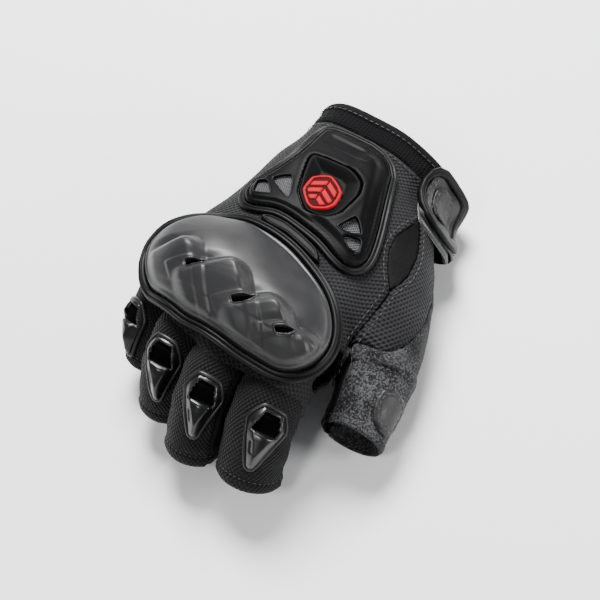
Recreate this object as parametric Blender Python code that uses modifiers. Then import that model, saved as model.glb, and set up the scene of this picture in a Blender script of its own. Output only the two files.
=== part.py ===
"""Half-finger motorcycle glove, right hand, palm down. Built in millimetres, stored in metres, +Z up.

The worn shape is one smooth form made of tapered limbs. Fabric panels are pieces of that form's
surface given thickness; guards, welts and straps are lofted onto it.
"""
import math

import bmesh
import bpy
import numpy as np
from mathutils import Matrix, Vector

NAME = "riding_glove_right"
MM = 0.001
FABRIC = 1.0          # panel thickness
SEAM = 0.35           # half the gap left along a seam
LIFT = 0.8            # clearance under pieces that lie on the fabric
DATUM = Vector((-4, 8, -1.2))  # middle of the heel pad's flat face, the glove's own origin
CUFF_END = -32.0      # wrist opening
BINDING = 4.0         # depth of the edge binding
CUFF_KNIT = -20.0     # where the knitted cuff meets the hand panels
MESH_STEP = 7.0       # size of the form's faces

# limb: two ends, each x, y, z, radius
WRIST = [
    ((-5, -50, 23, 18), (-10, 8, 24, 20)),
    ((12, -50, 23, 19), (12, 8, 24, 20)),
    ((-20, -50, 18, 13.5), (-21, 5, 20, 14.5)),
]
PALM = [
    ((-16, 8, 25, 20), (-33, 78, 37, 15.5)),
    ((-4, 8, 27, 20), (-10.5, 80, 39, 15.5)),
    ((8, 8, 26, 20), (12, 73, 37.5, 15)),
    ((16, 8, 23, 18), (32, 63, 31, 13.5)),
]
# knuckle, middle and end of each finger
FINGERS = {
    "index": ((-33, 78, 37, 15.5), (-37, 105, 31, 14), (-40.5, 125, 13, 13)),
    "middle": ((-10.5, 80, 39, 15.5), (-12, 108, 33.5, 12.8), (-14, 126, 12, 12)),
    "ring": ((12, 73, 37.5, 15), (11, 100, 32.5, 12.2), (8.5, 116, 10.5, 11)),
    "little": ((32, 63, 31, 13.5), (31.5, 87, 26.5, 11.2), (28, 102, 10.5, 10.2)),
}
THUMB = ((-33, 12, 22, 17.5), (-56.5, 52, 18.5, 16), (-66.5, 92, 14.5, 13))
FINGER_ROOT = {"index": 0.40, "middle": 0.40, "ring": 0.42, "little": 0.44}
FINGER_WALLS = {"index": (-70, -25.4), "middle": (-24.6, -1.2), "ring": (-0.4, 19.6), "little": (20.4, 60)}
# roll from the finger's back, start beyond the root, size and sideways lean of each finger guard
FINGER_GUARDS = {"index": (-32, 3.2, 1.0, 0.12), "middle": (-22, 2.6, 0.95, -0.05),
                 "ring": (-10, 2.6, 0.95, -0.12), "little": (22, 4.6, 0.82, -0.15)}
THUMB_ROOT = 0.66
AXIS_DROP = 6.0       # finger hinge below the middle of the tube
AXIS_AHEAD = 2.0      # and beyond the edge of the hand

MATERIALS = {
    "air_mesh": ((0.02, 0.02, 0.022), 0.8, 0.0),
    "knit": ((0.025, 0.025, 0.027), 0.85, 0.0),
    "stretch": ((0.015, 0.015, 0.017), 0.55, 0.0),
    "suede": ((0.09, 0.09, 0.092), 0.9, 0.0),
    "leather": ((0.04, 0.04, 0.042), 0.6, 0.0),
    "binding": ((0.012, 0.012, 0.013), 0.7, 0.0),
    "satin_shell": ((0.06, 0.06, 0.065), 0.38, 0.0),
    "gloss_shell": ((0.03, 0.03, 0.033), 0.15, 0.0),
    "rubber": ((0.025, 0.025, 0.026), 0.5, 0.0),
    "bezel_black": ((0.01, 0.01, 0.01), 0.3, 0.0),
    "badge_red": ((0.55, 0.02, 0.03), 0.4, 0.0),
    "grey_mesh": ((0.2, 0.2, 0.21), 0.7, 0.0),
    "hook_loop": ((0.015, 0.015, 0.015), 0.95, 0.0),
}


# ---------------------------------------------------------------- form
def smooth_min(a, b, k):
    h = np.clip(0.5 + 0.5 * (b - a) / k, 0, 1)
    return b + (a - b) * h - k * h * (1 - h)


def cone_distance(p, a, b):
    start = np.array(a[:3], float)
    along = np.array(b[:3], float) - start
    h = np.clip(((p - start) @ along) / (along @ along), 0, 1)
    return np.linalg.norm(p - start - h[:, None] * along, axis=1) - (a[3] + (b[3] - a[3]) * h)


def curve_at(points, t):
    """Parabola through three centres: x, y, z, radius at fraction t."""
    p = np.array(points, float)
    first = np.linalg.norm(p[1, :3] - p[0, :3])
    m = first / (first + np.linalg.norm(p[2, :3] - p[1, :3]))
    t = np.atleast_1d(np.asarray(t, float))[:, None]
    return (t - m) * (t - 1) / m * p[0] + t * (t - 1) / (m * (m - 1)) * p[1] + t * (t - m) / (1 - m) * p[2]


def limb_distance(p, points):
    c = curve_at(points, np.linspace(0, 1.15, 10))
    return np.min([cone_distance(p, c[i], c[i + 1]) for i in range(len(c) - 1)], axis=0)


def palm_distance(p):
    d = cone_distance(p, *PALM[0])
    for limb in PALM[1:] + WRIST:
        d = smooth_min(d, cone_distance(p, *limb), 10)
    return d


def hand_distance(p):
    d = smooth_min(palm_distance(p), limb_distance(p, THUMB), 14)
    for points in FINGERS.values():
        d = smooth_min(d, limb_distance(p, points), 6)
    return d


def cover_distance(p):
    """The back of the hand as stiff pieces see it, bridging the dips between knuckles."""
    d = smooth_min(palm_distance(p), limb_distance(p, THUMB), 14)
    for points in FINGERS.values():
        d = smooth_min(d, limb_distance(p, points), 18)
    return d


def finger_distance(p, name):
    low, high = FINGER_WALLS[name]
    d = smooth_min(palm_distance(p), limb_distance(p, FINGERS[name]), 6)
    return np.maximum(d, np.maximum(low - p[:, 0], p[:, 0] - high))


def thumb_distance(p):
    return smooth_min(palm_distance(p), limb_distance(p, THUMB), 14)


def gradient(field, p):
    g = np.empty_like(p)
    for k in range(3):
        d = np.zeros(3)
        d[k] = 0.05
        g[:, k] = (field(p + d) - field(p - d)) / 0.1
    return g


def cast(field, start, direction, near, far):
    """Where rays meet the field's surface, walking outwards from inside."""
    a = np.full(len(start), float(near))
    b = np.full(len(start), float(far))
    for _ in range(26):
        m = (a + b) / 2
        inside = field(start + direction * m[:, None]) < 0
        a = np.where(inside, m, a)
        b = np.where(inside, b, m)
    return a


def raised(field, on_surface, ray, height):
    """Move points off the surface, halfway between the ray and the true normal."""
    normal = gradient(field, on_surface)
    normal /= np.linalg.norm(normal, axis=1)[:, None]
    lean = ray + normal
    lean /= np.linalg.norm(lean, axis=1)[:, None]
    return on_surface + lean * np.asarray(height)[:, None]


# ---------------------------------------------------------------- charts: (across, along, height) to x, y, z
def back_chart(st, height):
    """Over the back of the hand: rays fan out from a line under the palm."""
    st = np.asarray(st, float)
    angle = st[:, 0] / 60
    ray = np.stack([np.sin(angle), np.zeros(len(st)), np.cos(angle)], axis=1)
    start = np.stack([np.zeros(len(st)), st[:, 1], np.full(len(st), -22.0)], axis=1)
    reach = cast(cover_distance, start + ray * 40, ray, 0, 60) + 40
    return raised(cover_distance, start + ray * reach[:, None], ray, height)


def palm_chart(xy, height):
    """Under the palm: straight down."""
    xy = np.asarray(xy, float)
    start = np.stack([xy[:, 0], xy[:, 1], np.full(len(xy), 24.0)], axis=1)
    ray = np.tile([0.0, 0.0, -1.0], (len(xy), 1))
    reach = cast(hand_distance, start, ray, 0, 40)
    return raised(hand_distance, start + ray * reach[:, None], ray, height)


def wrist_chart(sy, height):
    """Round the wrist from the back (0) over the thumb side: degrees, along."""
    sy = np.asarray(sy, float)
    angle = np.radians(sy[:, 0])
    ray = np.stack([-np.sin(angle), np.zeros(len(sy)), np.cos(angle)], axis=1)
    start = np.stack([np.full(len(sy), -10.0), sy[:, 1], np.full(len(sy), 20.0)], axis=1)
    reach = cast(hand_distance, start, ray, 0, 50)
    return raised(hand_distance, start + ray * reach[:, None], ray, height)


def tube_frame(points, t):
    c = curve_at(points, t)[:, :3]
    ahead = curve_at(points, np.asarray(t) + 0.01)[:, :3] - curve_at(points, np.asarray(t) - 0.01)[:, :3]
    return c, ahead / np.linalg.norm(ahead, axis=1)[:, None]


def finger_chart(name, along, angle, height):
    """Round a finger: fraction along, degrees from its back (positive to the little side), height."""
    centre, ahead = tube_frame(FINGERS[name], along)
    side = np.tile([1.0, 0.0, 0.0], (len(centre), 1))
    up = np.cross(side, ahead)
    up /= np.linalg.norm(up, axis=1)[:, None]
    a = np.radians(angle)[:, None]
    ray = side * np.sin(a) + up * np.cos(a)
    reach = cast(lambda p: finger_distance(p, name), centre, ray, 0, 26)
    return centre + ray * (reach + height)[:, None]


def thumb_chart(along, angle, height):
    centre, ahead = tube_frame(THUMB, along)
    side = np.tile([1.0, 0.0, 0.0], (len(centre), 1))
    up = np.cross(side, ahead)
    up /= np.linalg.norm(up, axis=1)[:, None]
    side = np.cross(ahead, up)
    a = np.radians(angle)[:, None]
    ray = side * np.sin(a) + up * np.cos(a)
    reach = np.minimum(cast(thumb_distance, centre, ray, 0, 24), curve_at(THUMB, along)[:, 3] * 1.03)
    return centre + ray * (reach + height)[:, None]


# ---------------------------------------------------------------- building blocks
def material(name):
    if name in bpy.data.materials:
        return bpy.data.materials[name]
    colour, roughness, metallic = MATERIALS[name]
    made = bpy.data.materials.new(name)
    made.use_nodes = True
    shader = made.node_tree.nodes["Principled BSDF"]
    shader.inputs["Base Color"].default_value = (*colour, 1)
    shader.inputs["Roughness"].default_value = roughness
    shader.inputs["Metallic"].default_value = metallic
    made.diffuse_color = (*colour, 1)
    return made


def finish(name, bm, look, parent=None):
    """Turn a millimetre bmesh into a named object in metres, hung on its joint."""
    bmesh.ops.remove_doubles(bm, verts=bm.verts[:], dist=0.02)
    bmesh.ops.recalc_face_normals(bm, faces=bm.faces[:])
    if bm.calc_volume(signed=True) < 0:
        bmesh.ops.reverse_faces(bm, faces=bm.faces[:])
    origin = parent.location.copy() if parent else Vector((0, 0, 0))
    for v in bm.verts:
        v.co = (v.co - DATUM) * MM - origin
    mesh = bpy.data.meshes.new(name)
    bm.to_mesh(mesh)
    bm.free()
    mesh.materials.append(material(look))
    made = bpy.data.objects.new(name, mesh)
    PARTS.objects.link(made)
    if parent:
        made.parent = parent
    return made


def thicken(bm, thickness, side=-1.0):
    """Solidify an open surface; side -1 is inwards."""
    mesh = bpy.data.meshes.new("open_surface")
    bm.to_mesh(mesh)
    bm.free()
    carrier = bpy.data.objects.new("open_surface", mesh)
    bpy.context.scene.collection.objects.link(carrier)
    solid = carrier.modifiers.new("thickness", "SOLIDIFY")
    solid.thickness = thickness
    solid.offset = side
    solid.use_even_offset = False
    done = bpy.data.meshes.new_from_object(carrier.evaluated_get(bpy.context.evaluated_depsgraph_get()))
    bpy.data.objects.remove(carrier)
    out = bmesh.new()
    out.from_mesh(done)
    bpy.data.meshes.remove(done)
    bpy.data.meshes.remove(mesh)
    return out


def grid_surface(points, closed=False):
    """Open surface from rows of points; closed joins each row's end to its start."""
    bm = bmesh.new()
    rows = [[bm.verts.new(p) for p in row] for row in points]
    count = len(rows[0])
    for low, high in zip(rows, rows[1:]):
        for i in range(count if closed else count - 1):
            j = (i + 1) % count
            bm.faces.new((low[i], low[j], high[j], high[i]))
    return bm


def face_outwards(bm, centre):
    """Wind an open surface so its normals point away from a centre."""
    bmesh.ops.recalc_face_normals(bm, faces=bm.faces[:])
    bm.normal_update()
    middle = Vector(centre)
    lean = sum((f.calc_center_median() - middle).dot(f.normal) * f.calc_area() for f in bm.faces)
    if lean < 0:
        bmesh.ops.reverse_faces(bm, faces=bm.faces[:])


def shifted(outline, distance):
    """Outline moved outwards (positive) or inwards by its corner bisectors."""
    p = np.asarray(outline, float)
    before = np.roll(p, 1, axis=0)
    after = np.roll(p, -1, axis=0)
    area = 0.5 * np.sum(p[:, 0] * after[:, 1] - after[:, 0] * p[:, 1])
    turn = 1.0 if area > 0 else -1.0
    e1 = (p - before) / np.linalg.norm(p - before, axis=1)[:, None]
    e2 = (after - p) / np.linalg.norm(after - p, axis=1)[:, None]
    n1 = np.stack([e1[:, 1], -e1[:, 0]], axis=1) * turn
    n2 = np.stack([e2[:, 1], -e2[:, 0]], axis=1) * turn
    n = n1 + n2
    n /= np.maximum(np.linalg.norm(n, axis=1), 1e-6)[:, None]
    stretch = np.clip(1 / np.maximum(np.sum(n * n1, axis=1), 0.5), 1, 1.6)
    return p + n * (distance * stretch)[:, None]


def rounded(outline, count, soften=2):
    """Outline resampled to even steps with its corners eased."""
    p = np.asarray(outline, float)
    for _ in range(soften):
        q = np.roll(p, -1, axis=0)
        p = np.stack([p * 0.75 + q * 0.25, p * 0.25 + q * 0.75], axis=1).reshape(-1, 2)
    q = np.vstack([p, p[:1]])
    run = np.concatenate([[0], np.cumsum(np.linalg.norm(np.diff(q, axis=0), axis=1))])
    at = np.linspace(0, run[-1], count, endpoint=False)
    return np.stack([np.interp(at, run, q[:, 0]), np.interp(at, run, q[:, 1])], axis=1)


def loft(loops, cap_start=True, cap_end=True, ring=False):
    """Closed solid through loops of equal count."""
    bm = bmesh.new()
    rows = [[bm.verts.new(p) for p in loop] for loop in loops]
    pairs = list(zip(rows, rows[1:]))
    if ring:
        pairs.append((rows[-1], rows[0]))
    for low, high in pairs:
        for i in range(len(low)):
            j = (i + 1) % len(low)
            bm.faces.new((low[i], low[j], high[j], high[i]))
    for wanted, row in ((cap_start and not ring, rows[0]), (cap_end and not ring, rows[-1])):
        if wanted:
            centre = sum((v.co for v in row), Vector()) / len(row)
            hub = bm.verts.new(centre)
            for i in range(len(row)):
                bm.faces.new((row[i], row[(i + 1) % len(row)], hub))
    return bm


def shell(chart, outline, rings, outer, inner):
    """Solid over a star-shaped outline: outer(points, share) and inner heights, share 1 at the rim."""
    outline = np.asarray(outline, float)
    hub = outline.mean(axis=0)
    loops = []
    for share in rings[::-1]:
        p = hub + (outline - hub) * share
        loops.append(chart(p, inner(p, share)))
    for share in rings:
        p = hub + (outline - hub) * share
        loops.append(chart(p, outer(p, share)))
    return loft(loops)


def edge_distance(outline, p):
    """Distance from points to a closed outline, positive inside."""
    a = np.asarray(outline, float)
    b = np.roll(a, -1, axis=0)
    run = b - a
    rel = p[:, None, :] - a[None]
    share = np.clip((rel * run).sum(axis=2) / (run * run).sum(axis=1), 0, 1)
    near = np.linalg.norm(rel - share[..., None] * run, axis=2).min(axis=1)
    cross = (a[None, :, 1] > p[:, 1:2]) != (b[None, :, 1] > p[:, 1:2])
    height = np.where(np.abs(run[:, 1]) < 1e-9, 1e-9, run[:, 1])
    left = p[:, 0:1] < a[None, :, 0] + (p[:, 1:2] - a[None, :, 1]) / height * run[:, 0]
    inside = (cross & left).sum(axis=1) % 2 == 1
    return np.where(inside, near, -near)


def moulding(chart, outline, spacing, outer, inner, holes=()):
    """Solid over any outline on an even grid; heights take points and distance from the edge."""
    low, high = outline.min(axis=0) - 1, outline.max(axis=0) + 1
    across = np.linspace(low[0], high[0], int((high[0] - low[0]) / spacing) + 2)
    along = np.linspace(low[1], high[1], int((high[1] - low[1]) / spacing) + 2)
    bm = grid_surface([[(s, t, 0.0) for s in across] for t in along])
    clip(bm, lambda p: edge_distance(outline, p[:, :2]))
    for hole in holes:
        clip(bm, lambda p, hole=hole: -edge_distance(hole, p[:, :2]))
    biggest_piece(bm)
    bmesh.ops.delete(bm, geom=[v for v in bm.verts if not v.link_faces], context="VERTS")
    bmesh.ops.triangulate(bm, faces=[f for f in bm.faces if len(f.verts) > 4])
    flat = list(bm.verts)
    q = np.array([v.co[:2] for v in flat])
    depth = np.maximum(edge_distance(outline, q), 0)
    rim = [e for e in bm.edges if len(e.link_faces) == 1]
    under = dict(zip(flat, (bm.verts.new(c) for c in chart(q, inner(q, depth)))))
    for face in bm.faces[:]:
        bm.faces.new([under[v] for v in reversed(face.verts)])
    for edge in rim:
        a, b = edge.verts
        bm.faces.new((a, b, under[b], under[a]))
    for v, c in zip(flat, chart(q, outer(q, depth))):
        v.co = c
    return bm


def band(chart, outside, inside, low, high):
    """Closed ring between two outlines of equal count."""
    def at(outline, height):
        return chart(outline, np.full(len(outline), float(height)))
    return loft([at(outside, low), at(outside, high), at(inside, high), at(inside, low)], ring=True)


def constant(value):
    return lambda p, share: np.full(len(p), float(value))


def clip(bm, field):
    """Keep the part of an open surface where field(points) is positive."""
    bm.verts.ensure_lookup_table()
    value = dict(zip(bm.verts, field(np.array([v.co[:] for v in bm.verts]))))
    for v in value:
        if abs(value[v]) < 0.25:
            value[v] = 0.0
    for edge in bm.edges[:]:
        a, b = edge.verts
        if value[a] * value[b] < 0:
            share = value[a] / (value[a] - value[b])
            _, made = bmesh.utils.edge_split(edge, a, share)
            value[made] = 0.0
    for face in bm.faces[:]:
        while True:
            zero = [v for v in face.verts if value[v] == 0.0]
            signs = {value[v] > 0 for v in face.verts if value[v] != 0.0}
            if len(signs) < 2 or len(zero) < 2:
                break
            ring = list(face.verts)
            ends = [z for z in zero if value[ring[(ring.index(z) + 1) % len(ring)]] != 0.0
                    or value[ring[ring.index(z) - 1]] != 0.0]
            first, second = ends[0], ends[-1]
            if abs(ring.index(first) - ring.index(second)) in (1, len(ring) - 1):
                break
            face, _ = bmesh.utils.face_split(face, first, second)
    dropped = []
    for face in bm.faces:
        total = sum(value[v] for v in face.verts)
        if total <= 0:
            dropped.append(face)
    bmesh.ops.delete(bm, geom=dropped, context="FACES")
    return bm


def biggest_piece(bm):
    """Drop stray islands."""
    seen = set()
    groups = []
    for start in bm.faces:
        if start in seen:
            continue
        stack = [start]
        seen.add(start)
        group = []
        while stack:
            face = stack.pop()
            group.append(face)
            for edge in face.edges:
                for other in edge.link_faces:
                    if other not in seen:
                        seen.add(other)
                        stack.append(other)
        groups.append(group)
    keep = set(max(groups, key=len))
    bmesh.ops.delete(bm, geom=[f for f in bm.faces if f not in keep], context="FACES")
    return bm


def hand_surface():
    """The hand and thumb root as one surface: limbs voxel-joined, then settled on the form."""
    bm = bmesh.new()
    limbs = PALM + WRIST
    for points in list(FINGERS.values()) + [THUMB]:
        c = curve_at(points, np.linspace(0, 1, 6))
        limbs = limbs + [(tuple(c[i]), tuple(c[i + 1])) for i in range(5)]
    for a, b in limbs:
        start, end = Vector(a[:3]), Vector(b[:3])
        for where, radius in ((start, a[3]), (end, b[3])):
            place = Matrix.Translation(where)
            bmesh.ops.create_uvsphere(bm, u_segments=16, v_segments=10, radius=radius, matrix=place)
        turn = (end - start).to_track_quat("Z", "Y").to_matrix().to_4x4()
        place = Matrix.Translation((start + end) / 2) @ turn
        bmesh.ops.create_cone(bm, cap_ends=True, segments=16, radius1=a[3], radius2=b[3],
                              depth=(end - start).length, matrix=place)
    mesh = bpy.data.meshes.new("limbs")
    bm.to_mesh(mesh)
    bm.free()
    carrier = bpy.data.objects.new("limbs", mesh)
    bpy.context.scene.collection.objects.link(carrier)
    remesh = carrier.modifiers.new("join", "REMESH")
    remesh.mode = "VOXEL"
    remesh.voxel_size = MESH_STEP
    done = bpy.data.meshes.new_from_object(carrier.evaluated_get(bpy.context.evaluated_depsgraph_get()))
    bpy.data.objects.remove(carrier)
    p = np.array([v.co[:] for v in done.vertices])
    for _ in range(6):
        g = gradient(hand_distance, p)
        p = p - (hand_distance(p) / np.maximum((g * g).sum(axis=1), 0.3))[:, None] * g
    out = bmesh.new()
    out.from_mesh(done)
    for v, q in zip(out.verts, p):
        v.co = q
    bpy.data.meshes.remove(done)
    bmesh.ops.recalc_face_normals(out, faces=out.faces[:])
    return out


def root_plane(points, t):
    """Point and direction where a tube starts."""
    centre, ahead = tube_frame(points, [t])
    return centre[0], ahead[0]


def finger_root_side(p):
    """Positive on the hand's side of the finger openings."""
    names = list(FINGERS)
    centres = [root_plane(FINGERS[n], FINGER_ROOT[n]) for n in names]
    order = np.argsort([c[0][0] for c in centres])
    xs = [centres[i][0][0] for i in order]
    y = np.interp(p[:, 0], xs, [centres[i][0][1] for i in order])
    z = np.interp(p[:, 0], xs, [centres[i][0][2] for i in order])
    tilt = np.interp(p[:, 0], xs, [math.atan2(-centres[i][1][2], centres[i][1][1]) for i in order])
    return (y - p[:, 1]) * np.cos(tilt) - (z - p[:, 2]) * np.sin(tilt)


def thumb_root_side(p):
    centre, ahead = root_plane(THUMB, THUMB_ROOT)
    inside = (centre - p) @ ahead
    away = p[:, 0] + 48.0 + (p[:, 1] - 75) * 0.12
    return np.where(away > 0, np.maximum(inside, away * 3), inside)


def step(x, low, high):
    t = np.clip((x - low) / (high - low), 0, 1)
    return t * t * (3 - 2 * t)


def seam_height(p):
    """Positive on the back of the hand, negative on the palm."""
    thumb_side = np.interp(p[:, 1], [-40, 62, 70, 80, 100], [0.6, 34.3, 31, 18, 14])
    little_side = 22 + 0.12 * p[:, 1]
    w = step(p[:, 0], -12, 12)
    return p[:, 2] - (thumb_side * (1 - w) + little_side * w)


def fan(p):
    return 60 * np.arctan2(p[:, 0], p[:, 2] + 22)


def web_seam(p):
    """Positive on the back panel, negative on the thumb web."""
    return fan(p) - np.interp(p[:, 1], [-20, 4, 20, 36, 64, 78], [-35, -37, -38.5, -42, -43, -50])


def leaf(p):
    """Positive inside the stretch gusset."""
    width = 5.4 * np.sin(np.clip((p[:, 1] + 2) / 38, 0, 1) * math.pi) - 0.3
    return width - np.abs(web_seam(p))


def hand_panel(name, look, fields):
    bm = hand_surface()
    for field in fields:
        clip(bm, field)
    biggest_piece(bm)
    bmesh.ops.triangulate(bm, faces=[f for f in bm.faces if len(f.verts) > 4])
    return finish(name, thicken(bm, FABRIC), look)


# ---------------------------------------------------------------- build
for stale in list(bpy.data.objects):
    bpy.data.objects.remove(stale)
PARTS = bpy.data.collections.new(NAME)
bpy.context.scene.collection.children.link(PARTS)


def beyond(y):
    return lambda p: p[:, 1] - y


def before(y):
    return lambda p: y - p[:, 1]


def inset(field, amount=SEAM, sign=1.0):
    return lambda p: sign * field(p) - amount


def palm_end(p):
    """The palm stops a little short of the finger roots, so the fingers can flex."""
    return finger_root_side(p) - 1.5 * (1 - step(p[:, 2], 20, 32))


HAND_ENDS = [palm_end, thumb_root_side]
hand_panel("cuff_binding", "binding", [beyond(CUFF_END), before(CUFF_END + BINDING - SEAM)])
hand_panel("cuff_knit", "knit", [beyond(CUFF_END + BINDING + SEAM), before(CUFF_KNIT - SEAM)])
hand_panel("back_panel", "air_mesh", HAND_ENDS + [
    beyond(CUFF_KNIT + SEAM), inset(seam_height), inset(web_seam), inset(leaf, SEAM, -1.0)])
hand_panel("thumb_web", "air_mesh", HAND_ENDS + [
    beyond(CUFF_KNIT + SEAM), inset(seam_height), inset(web_seam, SEAM, -1.0), inset(leaf, SEAM, -1.0)])
hand_panel("stretch_gusset", "stretch", [inset(seam_height, 0.0), inset(leaf)])
hand_panel("palm_panel", "suede", HAND_ENDS + [
    beyond(CUFF_KNIT + SEAM), inset(seam_height, SEAM, -1.0)])


# knuckle guard: a hollow dome with four swept crests, in a rubber rim
GUARD = [(13, 45), (-1.3, 45), (-15.5, 49.5), (-26, 56.5), (-33, 66), (-36.5, 76), (-36, 86.5), (-32.5, 94),
         (-29, 96.7), (-22.5, 97), (-15.5, 97.2), (-9, 96.4), (-2, 95.4), (4.2, 95.3), (10.6, 93.5), (17, 91.8),
         (25, 89.5), (31, 83.5), (35.5, 74.5), (32, 63.5), (25, 52.5)]
# crest: outer end and toe of its ridge, height, length of its steep front
CRESTS = (((24, 79), (13, 72), 4.4, 5.5), ((9.5, 84.2), (-4.3, 73.8), 6.2, 6.8),
          ((-9.5, 88.6), (-19.8, 78.4), 6.2, 6.0), ((-23.5, 89), (-31.5, 81.5), 3.0, 4.6))


def crest_place(p, outer, toe):
    """Distance along a crest from its outer end, distance in front of it, and its length."""
    run = np.subtract(toe, outer)
    length = math.hypot(*run)
    run = run / length
    rel = p - np.array(outer)
    return rel @ run, rel @ np.array([run[1], -run[0]]) * -1, length


def guard_height(p, depth):
    """Outer height of the guard above the fabric, depth in from its edge."""
    dome = 1.8 + 4.0 * (1 - np.exp(-depth / 9))
    rise = np.zeros(len(p))
    lobe = np.zeros(len(p))
    for outer, toe, height, front in CRESTS:
        along, ahead, length = crest_place(p, outer, toe)
        share = np.clip(along / length, 0, 1)
        ends = step(along, -4, 2) * (1 - step(along, length, length + 4))
        width = 10 - 5 * share
        fall = np.where(ahead < 0, np.exp(-(ahead / width) ** 2), 1 - step(ahead, 0, front))
        rise = np.maximum(rise, height * (0.6 + 0.4 * share) * ends * fall)
        lobe = lobe + 1.6 * np.exp(-((along - length / 2) / 7.5) ** 2) * step(ahead, 0, front)
    return dome + (rise + lobe) * step(depth, 0, 5)


def guard_hollow(p, depth):
    return LIFT + np.maximum(0, guard_height(p, depth) - 3.2 - LIFT) * step(depth, 1, 5)


guard_line = rounded(GUARD, 44)
finish("knuckle_guard", moulding(back_chart, guard_line, 3.4, guard_height, guard_hollow), "satin_shell")
finish("guard_rim", band(back_chart, shifted(guard_line, 3.2), shifted(guard_line, 0.4), LIFT, 2.3), "rubber")

# back plate with its welt, pocket and mesh windows
PLATE = [(13, -15.5), (-15.5, -16.5), (-22.5, 5), (-28.5, 23), (-30.5, 34), (-27, 40.5), (-22.5, 40),
         (-15.5, 36.5), (-8, 34.8), (0, 33.2), (6, 33.2), (13, 36), (18, 35.5), (22.5, 28), (19, 21), (13, 6),
         (14, -6), (14.5, -12)]
POCKET = [(8.5, 3), (-8, 2), (-13.5, 5), (-15.5, 11), (-14.5, 23.5), (-11.5, 28.5), (-4.5, 30), (2.5, 23), (5.5, 14)]
BADGE = [(1.3, 21), (1.6, 13.5), (-3.8, 9.5), (-10.2, 14), (-11, 20.5), (-9.6, 24), (-5.8, 27), (-3.2, 26)]
WINDOWS = ([(13.5, 21.5), (8.3, 17), (3.4, 27.8)], [(17.6, 25.2), (14.8, 24), (10.5, 29), (15.8, 30.8)],
           [(-17, 29), (-19.2, 20.5), (-23.4, 26), (-20.4, 28.2)], [(-20.2, 31), (-24.6, 28.3), (-26, 33.5), (-23.6, 34)])


def plate_height(p, depth):
    return 3.0 + 1.3 * step(depth, 0, 2.5)


plate_line = rounded(PLATE, 36)
pocket_line = rounded(POCKET, 14, 1)
openings = [shifted(pocket_line, 0.9)] + [rounded(w, 9, 1) for w in WINDOWS]
finish("wrist_plate", moulding(back_chart, plate_line, 2.9, plate_height, lambda p, depth: np.full(len(p), 2.2),
                               openings), "rubber")
finish("plate_welt", band(back_chart, shifted(plate_line, 2.8), shifted(plate_line, 0.4), LIFT, 1.9), "rubber")
finish("badge_bezel", shell(back_chart, pocket_line, (1.0, 0.84, 0.55, 0.25),
                            lambda p, share: np.full(len(p), 3.6 if share > 0.9 else 2.4),
                            constant(1.8)), "bezel_black")
badge_line = rounded(BADGE, 14, 1)
finish("badge", shell(back_chart, badge_line, (1.0, 0.9, 0.5),
                      lambda p, share: np.full(len(p), 3.6 if share > 0.95 else 4.4),
                      constant(2.8)), "badge_red")
SHEET = [(19.5, 27), (16, 20.5), (9, 14.5), (-18, 17), (-25.5, 24), (-27.5, 34), (-24, 36.2), (-16, 33),
         (-1, 30), (13, 33), (17.5, 32.5)]
sheet_line = rounded(SHEET, 24, 1)
finish("window_mesh", shell(back_chart, sheet_line, (1.0, 0.75, 0.5, 0.25), constant(1.5), constant(0.9)),
       "grey_mesh")
STRIP = [(9, 38.9), (5, 36.9), (-1, 36.9), (-8, 38.6), (-15.5, 41), (-19.5, 46.5), (-12.5, 44.2), (-3, 41.2),
         (5, 41.2)]
strip_line = rounded(STRIP, 30, 1)
finish("knuckle_strip", moulding(back_chart, strip_line, 1.4, lambda p, depth: np.full(len(p), 1.6),
                                 lambda p, depth: np.full(len(p), LIFT)), "rubber")


# palm patches; the heel pad has the flat face the glove rests on
HEEL = [(-17, -11), (18, -13), (26, 6), (22, 30), (2, 33), (-22, 31), (-33, 17), (-19, 8)]
heel_line = rounded(HEEL, 24)
hub = heel_line.mean(axis=0)
heel_loops = []
for share in (0.2, 0.4, 0.6, 0.8, 1.0):
    ring = hub + (heel_line - hub) * share
    heel_loops.append(palm_chart(ring, np.full(len(ring), LIFT)))
for share in (1.0, 0.97, 0.8, 0.6, 0.4, 0.2):
    ring = hub + (heel_line - hub) * share
    face = palm_chart(ring, np.full(len(ring), 2.4 if share == 1.0 else 3.4))
    face[:, 2] = np.maximum(face[:, 2], DATUM.z)
    heel_loops.append(face)
finish("heel_pad", loft(heel_loops), "leather")
PALM_PATCH = [(-26, 44), (-4, 47), (20, 45), (33, 42), (35, 56), (22, 66), (0, 70), (-22, 68), (-30, 58)]
patch_line = rounded(PALM_PATCH, 24)
finish("palm_patch", shell(palm_chart, patch_line, (1.0, 0.75, 0.5, 0.25), constant(2.0), constant(1.2)), "leather")


# fingers
def joint(name, where):
    made = bpy.data.objects.new(name, None)
    made.empty_display_size = 0.01
    made.location = (Vector([float(c) for c in where]) - DATUM) * MM
    PARTS.objects.link(made)
    return made


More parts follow.
